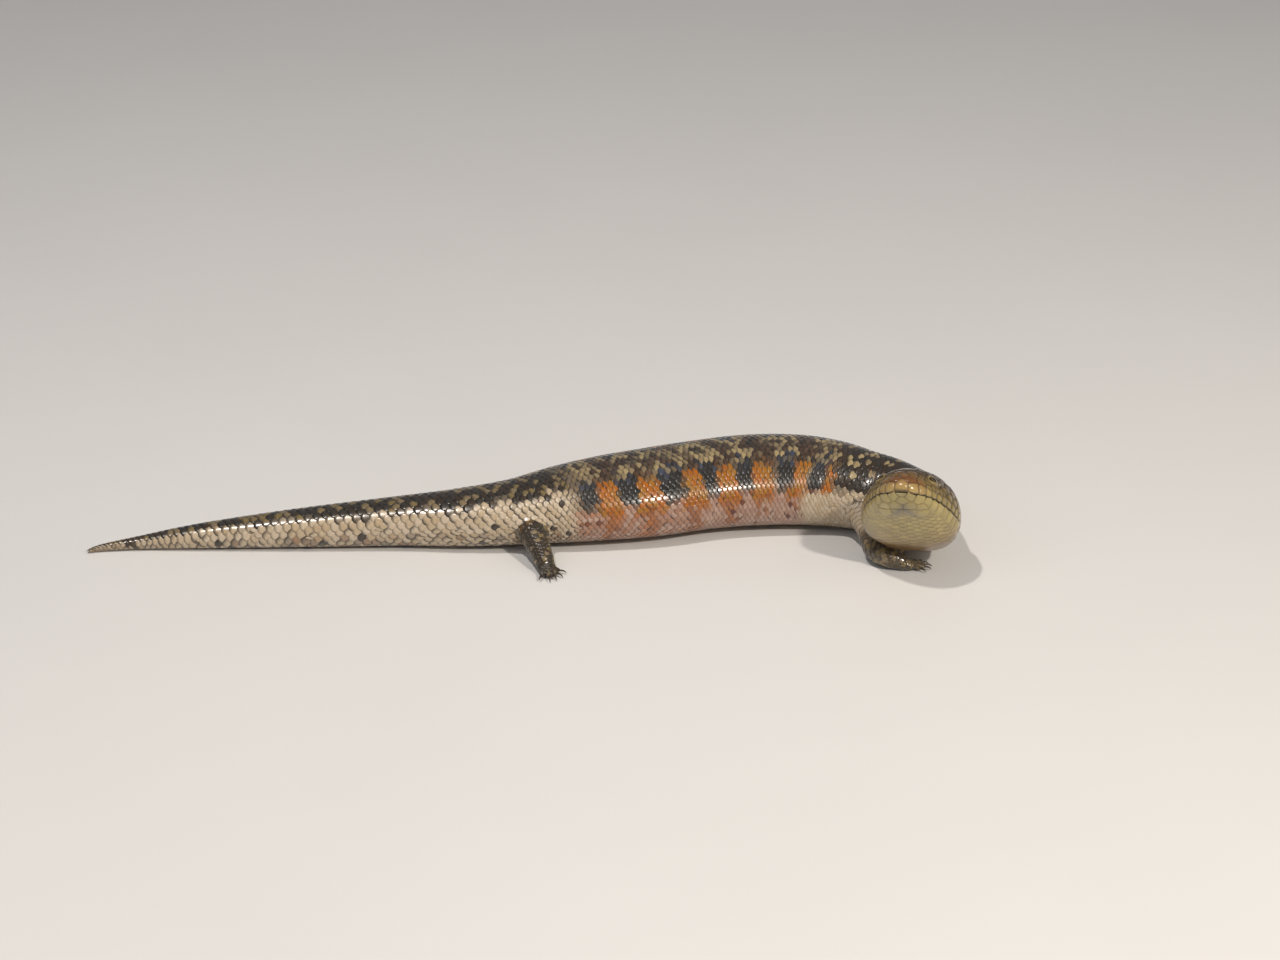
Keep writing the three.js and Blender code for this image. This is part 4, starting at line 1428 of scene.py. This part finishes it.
# The same behind and above it, with the nostril's own shield first.
SIDE_SHIELDS = [
    *[(4.4, 7.6, 2.2), (7.6, 7.0, 1.9), (8.2, 10.2, 1.6), (10.4, 6.8, 1.4), (10.9, 9.4, 1.2)],
    *[(9.4, 4.4, 1.1), (12.0, 3.9, 1.0), (14.4, 3.5, 1.0), (16.8, 3.4, 1.0), (19.2, 3.6, 1.0)],
    *[(21.2, 5.2, 1.2), (21.8, 8.0, 1.3), (22.0, 11.0, 1.3), (24.6, 2.2, 1.8), (25.4, 6.0, 2.1)],
    *[(25.6, 10.0, 1.8), (29.0, 0.4, 2.0), (29.6, 4.4, 2.2), (30.0, 8.6, 2.1), (33.4, -1.6, 2.0)],
    *[(33.8, 2.6, 2.1), (34.4, 6.8, 2.1)],
]
UPPER_LABIALS = [1.5, 4.6, 7.9, 11.2, 14.6, 18.2, 22.0, 25.9, 29.7, 33.5]
LOWER_LABIALS = [2.4, 5.6, 9.0, 12.6, 16.4, 20.4, 24.4, 28.4, 32.2]
LABIAL_SIZE = 1.9
EYE_CLEAR = (4.3, 4.1)  # a shield nearer to the eye is left out, and the others stop at the second distance
CHIN_SHIELDS = [(5.0, 0, 2.3), (8.4, 3.0, 2.5), (9.8, 8.8, 1.9), (12.8, 3.2, 2.2), (13.6, 8.2, 2.0)]


@dataclass
class Shields:
    """The plates of the head: each a rounded polygon that meets its neighbours in a fine groove."""

    face: Face
    groove: float = 0.1
    lip_gap: float = 0.15
    spread: float = 1.9
    cell: float = 0.9
    least_area: float = 0.8
    base: float = -0.5
    seeds: list[Seed] = field(init=False)
    rng: np.random.Generator = field(default_factory=lambda: np.random.default_rng(5))

    def __post_init__(self) -> None:
        """Lays out all the seeds, both sides alike."""
        self.seeds = []
        for behind, left, size in TOP_SHIELDS:
            for way in (1, -1) if left else (1,):
                self._add(*self.face.top(behind, way * left), size)
        for side in Side:
            for behind, above, size in SIDE_SHIELDS:
                self._add(*self.face.spot(behind, above, side), size)
            for behind in UPPER_LABIALS:
                above = float(mouth_rise(behind)) + 2.0 - 0.3 * smooth(behind, 20, 34)
                self._add(*self.face.spot(behind, above, side), LABIAL_SIZE, True)
            for behind in LOWER_LABIALS:
                above = float(mouth_rise(behind)) - 1.9
                self._add(*self.face.spot(behind, above, side), LABIAL_SIZE, True)
        for behind, left, size in CHIN_SHIELDS:
            for way in (1, -1) if left else (1,):
                self._add(*self.face.under(behind, way * left), size)
        for above, size in ((2.1, LABIAL_SIZE), (-1.9, 2.2)):
            found, out, _, _ = self.face.tree.find_nearest(Vector((-1, 0, above)))
            self._add(np.array(found), np.array(out), size, True)

    def _add(self, place: np.ndarray, out: np.ndarray, size: float, lip: bool = False) -> None:
        """Adds a seed with the tint of its place. The first on each side holds the nostril."""
        nostril = np.hypot(place[0] - NOSTRIL_PLACE[0], place[2] - NOSTRIL_PLACE[1]) < 0.01
        self.seeds.append(Seed(tuple(place), tuple(out), size, tuple(self.tint(place)), lip, bool(nostril)))

    @staticmethod
    def tint(places: np.ndarray) -> np.ndarray:
        """The colours of the head at places given as distances behind, left and above."""
        behind, left, above = np.moveaxis(places, -1, 0)
        rise = above - mouth_rise(behind)
        low = mixed(Paint.THROAT, Paint.CHEEK, 0.35 * smooth(behind, 14, 30))
        low = mixed(low, Paint.SLATE, throat_shadow(behind, left))
        high = mixed(Paint.SNOUT, Paint.CROWN, smooth(behind, 5, 15))
        high = mixed(high, Paint.CHEEK, 0.9 * (1 - smooth(rise, 8, 13)) * smooth(behind, 4, 10))
        band = (1 - smooth(rise, 0.8, 6.5)) * (0.62 - 0.22 * smooth(behind, 4, 16))
        high = mixed(high, Paint.LIP, band)
        return mixed(low, high, smooth(rise, -0.2, 0.2))

    def cuts(self, seed: Seed, across: np.ndarray, up: np.ndarray) -> list[tuple[np.ndarray, float]] | None:
        """The lines that bound a shield in its own plane, or None where the eye takes its place."""
        place, out = np.array(seed.place), np.array(seed.out)
        found = []

        def bound(target: np.ndarray, distance_to: float) -> None:
            """A line square to the way to target, at a distance along it."""
            flat = np.array([(target - place) @ across, (target - place) @ up])
            found.append((flat / max(np.linalg.norm(flat), 1e-6), distance_to))

        for other in self.seeds:
            if other is seed:
                continue
            there = np.array(other.place)
            apart = float(np.linalg.norm(there - place))
            if apart < 14 and np.array(other.out) @ out > -0.1:
                bound(there, apart / 2 + (seed.size**2 - other.size**2) / (2 * apart) - self.groove)
        if seed.lip:
            found.append(self._lip_line(place, across, up))
        for side in Side:
            eye, _ = self.face.spot(*EYE_PLACE, side)
            apart = float(np.linalg.norm(eye - place))
            if apart < EYE_CLEAR[0]:
                return None
            if apart < 12:
                bound(eye, apart - EYE_CLEAR[1])
        return found

    def _lip_line(self, place: np.ndarray, across: np.ndarray, up: np.ndarray) -> tuple[np.ndarray, float]:
        """The line along the mouth that bounds the lip shield at place, in the shield's own plane."""
        tangent = np.array([1.0, 0.0])
        line = np.array([place[0], 0, 0])
        if abs(place[1]) >= 0.01:
            behind = max(place[0], 0.2)
            side = Side.LEFT if place[1] > 0 else Side.RIGHT
            line, _ = self.face.spot(behind, float(mouth_rise(behind)), side)
            slope = float(mouth_rise(behind + 0.5) - mouth_rise(behind - 0.5))
            tangent = np.array([(1.0, 0.0, slope) @ across, (1.0, 0.0, slope) @ up])
        gap = np.array([(line - place) @ across, (line - place) @ up])
        normal = np.array([-tangent[1], tangent[0]]) / np.linalg.norm(tangent)
        normal *= 1 if normal @ gap > 0 else -1
        return normal, float(normal @ gap) - self.lip_gap

    def _outline(self, lines: list[tuple[np.ndarray, float]], reach: float) -> bmesh.types.BMesh | None:
        """A flat shield cut out by its lines, its corners rounded, or None where too little is left."""
        bm = bmesh.new()
        bmesh.ops.create_circle(bm, cap_ends=True, segments=20, radius=reach)
        for normal, distance in lines:
            whole = bm.verts[:] + bm.edges[:] + bm.faces[:]
            spot = (normal[0] * distance, normal[1] * distance, 0)
            bmesh.ops.bisect_plane(bm, geom=whole, plane_co=spot, plane_no=(*normal, 0), clear_outer=True)
        if not bm.faces or sum(face.calc_area() for face in bm.faces) < self.least_area:
            bm.free()
            return None
        bmesh.ops.remove_doubles(bm, verts=bm.verts, dist=0.05)
        bend = {"offset": 0.28, "offset_type": "OFFSET", "segments": 2, "profile": 0.5}
        bmesh.ops.bevel(bm, geom=bm.verts[:], affect="VERTICES", material=-1, clamp_overlap=True, **bend)
        return bm

    def _walled(self, bm: bmesh.types.BMesh, reach: float) -> set[bmesh.types.BMVert]:
        """Divides a flat shield into cells and gives it a wall and a base, whose points it returns."""
        for thickness in (0.22, 0.3):
            inner = max(bm.faces, key=lambda face: face.calc_area())
            bmesh.ops.inset_region(bm, faces=[inner], thickness=thickness, use_even_offset=True)
        for way in (Vector((1, 0, 0)), Vector((0, 1, 0))):
            for step in np.arange(-reach, reach, self.cell) + self.cell / 2:
                whole = bm.verts[:] + bm.edges[:] + bm.faces[:]
                bmesh.ops.bisect_plane(bm, geom=whole, dist=0.02, plane_co=way * step, plane_no=way)
        low = bmesh.ops.extrude_edge_only(bm, edges=[edge for edge in bm.edges if edge.is_boundary])["geom"]
        bmesh.ops.contextual_create(bm, geom=[edge for edge in bm.edges if edge.is_boundary])
        return {item for item in low if isinstance(item, bmesh.types.BMVert)}

    def plate(self, seed: Seed) -> tuple[bmesh.types.BMesh, np.ndarray] | None:
        """One shield laid on the head, and how close each of its points is to the rim; in a nostril this
        also darkens the hollow as painted shade.
        """
        place, out = np.array(seed.place), np.array(seed.out)
        forward = np.array([-1.0, 0, 0])
        across = unit(np.cross(forward if abs(out @ forward) < 0.9 else UP, out))
        up = np.cross(out, across)
        lines = self.cuts(seed, across, up)
        reach = max(seed.size * self.spread, 4.0 if seed.lip else 0)
        bm = None if lines is None else self._outline(lines, reach)
        if bm is None:
            return None
        corners = [np.array(vert.co)[:2] for vert in bm.faces[:][0].verts]
        walls = self._walled(bm, reach)
        flat = np.array([vert.co for vert in bm.verts])[:, :2]
        inside = self._inside(flat, corners)
        soft = 0.55 if place[2] < mouth_rise(place[0]) else 1.0
        height = np.where([vert in walls for vert in bm.verts], self.base, soft * self._crown(inside))
        rim = 1 - smooth(inside, 0.0, 0.55)
        if seed.nostril:
            hole = np.linalg.norm(flat - np.array([0.25, 0]), axis=1)
            height -= 1.3 * (1 - smooth(hole, 0.4, 0.95)) * (height > -0.3)
            # painted shade: the nostril's hollow is marked as rim, so it is painted dark like the seams
            rim = np.maximum(rim, 1.6 * (1 - smooth(hole, 0.5, 1.0)))
        for vert, spot, rise in zip(bm.verts, flat, height):
            start = place + across * spot[0] + up * spot[1]
            hit, away, _, _ = self.face.tree.ray_cast(Vector(start + out * RAY), Vector(-out))
            if hit is None:
                hit, away, _, _ = self.face.tree.find_nearest(Vector(start))
            vert.co = to_metres(HEAD.place(*(np.array(hit) + np.array(away) * rise)))
        bmesh.ops.recalc_face_normals(bm, faces=bm.faces)
        return bm, rim

    @staticmethod
    def _inside(points: np.ndarray, corners: list[np.ndarray]) -> np.ndarray:
        """The distance of points from the polygon's sides."""
        best = np.full(len(points), 9.0)
        for first, second in zip(corners, corners[1:] + corners[:1]):
            run = second - first
            share = np.clip(((points - first) @ run) / max(run @ run, 1e-9), 0, 1)
            best = np.minimum(best, np.linalg.norm(points - first - share[:, None] * run, axis=1))
        return best

    @staticmethod
    def _crown(inside: np.ndarray) -> np.ndarray:
        """The height over the skin at a distance from the rim."""
        return -0.05 + 0.32 * smooth(inside, 0, 0.35) + 0.15 * smooth(inside, 0.2, 1.6)

    def mesh(self) -> bpy.types.Mesh:
        """All the shields as one mesh, coloured, each with a patch to bake in."""
        shapes, rims, tints, patches = [], [], [], []
        for seed in self.seeds:
            made = self.plate(seed)
            if made is None:
                continue
            shapes.append(made[0])
            rims.append(made[1])
            tints.append(np.tile(np.array(seed.tint) * self.rng.uniform(0.75, 1.25), (len(made[1]), 1)))
            turn = math.atan2(seed.place[1], seed.place[2] + 4) / (2 * math.pi) % 1
            patch = (0.8 + 0.17 * (1 - seed.place[0] / 40), 0.02 + 0.96 * turn)
            patches.append((patch, sum(len(face.verts) for face in made[0].faces)))
        mesh = joined("head_shields", shapes)
        rim = np.concatenate(rims)
        places = HEAD.measure(places_of(mesh.vertices))
        under = 1 - smooth(places[:, 2] - mouth_rise(places[:, 0]), -0.4, 0.2)
        tint = mixed(np.concatenate(tints), self.tint(places), np.full(len(rim), 0.55))
        front = (1 - under) * (1 - smooth(places[:, 0], 8, 20))
        tint = mixed(tint, Paint.SEAM, (0.7 - 0.52 * under - 0.3 * front) * np.clip(rim, 0, 1.3))
        paint(mesh, np.clip(tint, 0, 1), np.clip(rim, 0, 1))
        centres = np.repeat([patch for patch, _ in patches], [corners for _, corners in patches], axis=0)
        corner = np.zeros(len(mesh.loops), np.int32)
        mesh.loops.foreach_get("vertex_index", corner)
        swing = (places[corner][:, :2] % 3.0) / 3.0 - 0.5
        bake = mesh.uv_layers.new(name="OFBake")
        bake.data.foreach_set("uv", (centres + BAKE_PATCH * swing).astype(np.float32).ravel())
        return mesh


@dataclass(frozen=True)
class Lamp:
    """A square soft light: where it stands, what it is turned to, its side, its power and its tint."""

    name: str
    place: tuple[float, float, float]
    aim: tuple[float, float, float]
    size: float
    watts: float
    tint: str

    def build(self) -> None:
        """Adds the lamp. Only a small one shows in the gloss of the scales."""
        lamp = bpy.data.lights.new(self.name, "AREA")
        lamp.size = self.size
        lamp.energy = self.watts
        lamp.color = tuple(colour(self.tint))
        made = bpy.data.objects.new(self.name, lamp)
        bpy.context.scene.collection.objects.link(made)
        made.location = self.place
        made.rotation_mode = "QUATERNION"
        made.rotation_quaternion = (Vector(self.aim) - Vector(self.place)).to_track_quat("-Z", "Y")
        made.visible_glossy = self.size < 0.5


LAMPS = [
    Lamp("key", (0.79, -0.98, 1.08), (0.07, 0.0, 0.02), 0.07, 14, "fff6ec"),
    Lamp("second_key", (-0.33, -0.37, 1.55), (0.07, 0.0, 0.02), 0.07, 12, "fff8f2"),
    Lamp("fill", (-1.3, -1.0, 1.3), (0.05, 0.0, 0.0), 1.6, 8, "eef3ff"),
    Lamp("side", (1.4, -0.7, 0.9), (0.08, 0.0, 0.02), 1.4, 6, "fff8f0"),
    Lamp("back", (0.1, 1.5, 1.4), (0.0, 0.0, 0.0), 1.8, 3, "f2f5ff"),
]


class Stage:
    """The floor, the lights and the camera."""

    def floor(self) -> None:
        """A plain pale floor."""
        bm = bmesh.new()
        bmesh.ops.create_grid(bm, x_segments=2, y_segments=2, size=4)
        mesh = bpy.data.meshes.new("floor")
        bm.to_mesh(mesh)
        bm.free()
        ground = bpy.data.objects.new("floor", mesh)
        bpy.context.scene.collection.objects.link(ground)
        mesh.materials.append(PlainFinish("pale_floor", "d3d1cd", "d8d6d2", 6, (0.7, 0.85)).material())

    def lights(self) -> None:
        """The lamps and the pale studio round them."""
        for lamp in LAMPS:
            lamp.build()
        world = bpy.data.worlds.new("studio")
        bpy.context.scene.world = world
        world.use_nodes = True
        world.node_tree.nodes["Background"].inputs[0].default_value = (0.8, 0.83, 0.88, 1)
        world.node_tree.nodes["Background"].inputs[1].default_value = 0.17

    def camera(self) -> None:
        """The camera at the photograph's viewing angle."""
        lens = bpy.data.cameras.new("camera")
        lens.lens = 82.72
        lens.sensor_width = 36
        lens.sensor_fit = "HORIZONTAL"
        lens.clip_start = 0.01
        eye = bpy.data.objects.new("camera", lens)
        bpy.context.scene.collection.objects.link(eye)
        aim = Vector((0.0581, 0.059, 0))
        eye.location = (0.0581, 0.059 - 1.3482, 0.6576)
        eye.rotation_euler = (aim - eye.location).to_track_quat("-Z", "Y").to_euler()
        bpy.context.scene.camera = eye
        bpy.context.scene.view_settings.view_transform = "Standard"


# Each coat of the body: its name, its slot, and where it starts and ends along the axis.
BODY_COATS = [
    ("tail_scales", "tail_skin", 0, 205),
    ("rear_trunk_scales", "back_skin", 205, 290),
    ("front_trunk_scales", "back_skin", 290, 372),
    ("neck_scales", "throat_skin", 372, 600),
]
# How deep in the blended skin a scale of the trunk or a leg is left out, and how far the two keep apart.
TRUNK_BURIED, LEG_BURIED, APART = 1.7, 1.1, 1.25


@dataclass
class Skink:
    """The whole animal."""

    rng: np.random.Generator = field(default_factory=lambda: np.random.default_rng(41))

    def __post_init__(self) -> None:
        """Draws the forms and the finishes."""
        self.body = Loft(BODY, True)
        self.legs = [Leg(limb) for limb in LIMBS]
        self.flesh = Flesh(self.body, self.legs)
        self.face = Face(self.body)
        self.coat = Coat(self.flesh)
        self.marks = Markings(self.rng)
        self.scale_gloss = ScaleFinish().material()
        self.shield_gloss = ScaleFinish("shield_gloss", coat=0.8, coat_rough=0.12).material()
        self.between = SkinFinish().material()

    def body_coat(self) -> list[Lay]:
        """The scales of the tail, trunk, neck and throat, in pieces."""
        whole = BodyScales(self.body).lay()
        spots, _ = whole.roots()
        ahead = whole.form.at_length(whole.length_at) > HEAD_FIRST - 1
        keep = ~ahead | self.face.clear(spots)
        beside = np.flatnonzero(self.flesh.near(spots))
        keep[beside] &= self.flesh.depth(spots[beside]) < TRUNK_BURIED
        whole = whole.kept(keep)
        self.marks.body(whole)
        lays = []
        for name, slot, low, high in BODY_COATS:
            lay = whole.kept((whole.length_at >= low) & (whole.length_at < high))
            piece(name, self.coat.mesh(name, [lay]), self.scale_gloss)
            lays.append(lay)
        return lays

    def leg_coat(self, trunk: list[Lay]) -> list[Lay]:
        """The scales of the legs and feet, clear of the trunk's."""
        every = []
        finder = finder_of(np.concatenate([lay.roots()[0] for lay in trunk]))
        for number, leg in enumerate(self.legs):
            low = 0.02 + 0.24 * number
            lays = [LimbScales(leg.cover, 15, 0.3, leg.cover.last - 0.15, 0.8, (0.02, low, 0.6, 0.2)).lay()]
            for index, toe in enumerate(leg.toes):
                box = (0.66, low + 0.04 * index, 0.1, 0.03)
                lays.append(LimbScales(toe, 7, 0.6, toe.last - 0.1, 0.6, box).lay())
            for index, lay in enumerate(lays):
                spots, _ = lay.roots()
                keep = (self.flesh.depth(spots) < LEG_BURIED) & (spots[:, 2] > 0.3)
                keep &= np.array([finder.find(spot)[2] > APART for spot in spots])
                kept = lay.kept(keep)
                self.marks.leg(kept, leg.limb.fore, index == 0)
                if len(kept.share):
                    every.append(kept)
        piece("leg_scales", self.coat.mesh("leg_scales", every), self.scale_gloss)
        return every

    def skin(self, lays: list[Lay]) -> None:
        """The one skin under everything, darkened below the scales' colours as painted shade in the gaps
        between them.
        """
        seeds = np.array([seed.place for seed in self.shields.seeds])
        finder = finder_of(np.concatenate([*[lay.roots()[0] for lay in lays], HEAD.place(*seeds.T)]))
        tints = np.concatenate([*[lay.tint for lay in lays], [seed.tint for seed in self.shields.seeds]])
        whole = bmesh.new()
        whole.from_mesh(self.flesh.skin)
        whole.from_mesh(self.face.mesh)
        mesh = joined("skin", [whole])
        places = places_of(mesh.vertices)
        tint = np.array([tints[finder.find(place)[1]] for place in places])
        head = HEAD.measure(places)
        behind, left, above = head.T
        rise = above - mouth_rise(behind)
        forward = smooth(-behind, -36, -30) * smooth(-np.abs(left), -40, -30)
        # painted shade in the gaps: the skin takes 0.45 of its nearest colour, and up to 0.8 of it under the
        # throat
        pale = 0.35 * (1 - smooth(rise, -3, 0)) * (behind < 62) * (np.abs(left) < 40)
        tint = mixed(tint, Shields.tint(head), forward) * (0.45 + pale[:, None])
        # painted shade along the crease of the mouth line
        seam = (1 - smooth(np.abs(rise), 0.4, 1.1)) * (behind < MOUTH_CORNER + 1)
        tint = mixed(tint, Paint.SEAM * 0.7, seam)
        paint(mesh, tint, np.zeros(len(tint)))
        made = piece("skin", mesh, self.between)
        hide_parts(*[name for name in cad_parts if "eye" not in name])

    def claws(self) -> None:
        """All twenty claws."""
        shapes = [tube(claw, 0, claw.last, 12, 14) for leg in self.legs for claw in leg.claws]
        horn = PlainFinish("claw_horn", "4f4236", "2b221b", 700, (0.25, 0.4), 0.00005)
        piece("claws", joined("claws", shapes), horn.material())

    def eyes(self) -> None:
        """Eyeballs, lids, head shields and ears."""
        eyes = Eyes(self.face)
        wet = ScaleFinish("wet_eye", (0.03, 0.06), 1.0, 0.000005, 0.03).material()
        for side in Side:
            made = piece(f"eyeball_{side.name.lower()}", eyes.ball_mesh(side), wet)
            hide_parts(f"eye_{side.name.lower()}")
        lids = joined("lids", [shape for side in Side for shape in (eyes.lids(side), eyes.beads(side))])
        places = HEAD.measure(places_of(lids.vertices))
        centres = np.array([self.face.spot(*EYE_PLACE, side)[0] for side in Side])
        away = np.linalg.norm(places[:, None] - centres[None], axis=2).min(axis=1)
        tint = mixed(mixed(Paint.DUN, Paint.LIP, 0.5), Shields.tint(places) * 0.75, smooth(away, 2.6, 3.4))
        paint(lids, tint, np.zeros(len(tint)))
        piece("lids", lids, self.shield_gloss)
        self.shields = Shields(self.face)
        piece("head_shields", self.shields.mesh(), self.shield_gloss)
        drums = joined("eardrums", [eyes.ear(side) for side in Side])
        flat_paint(drums, Paint.UMBER)
        piece("eardrums", drums, self.between)
        rims = joined("ear_rims", [eyes.ear_rim(side) for side in Side])
        flat_paint(rims, mixed(Paint.CHEEK, Paint.UMBER, np.array(0.4)))
        piece("ear_rims", rims, self.shield_gloss)

    def build(self) -> None:
        """Builds every piece in turn."""
        lays = self.body_coat()
        lays += self.leg_coat(lays)
        self.eyes()
        self.skin(lays)
        self.claws()


def main() -> None:
    """Builds the skink and its stage."""
    logging.basicConfig(level=logging.INFO, format="%(message)s")
    stage = Stage()
    stage.camera()
    stage.floor()
    stage.lights()
    Skink().build()


if __name__ == "__main__":
    main()
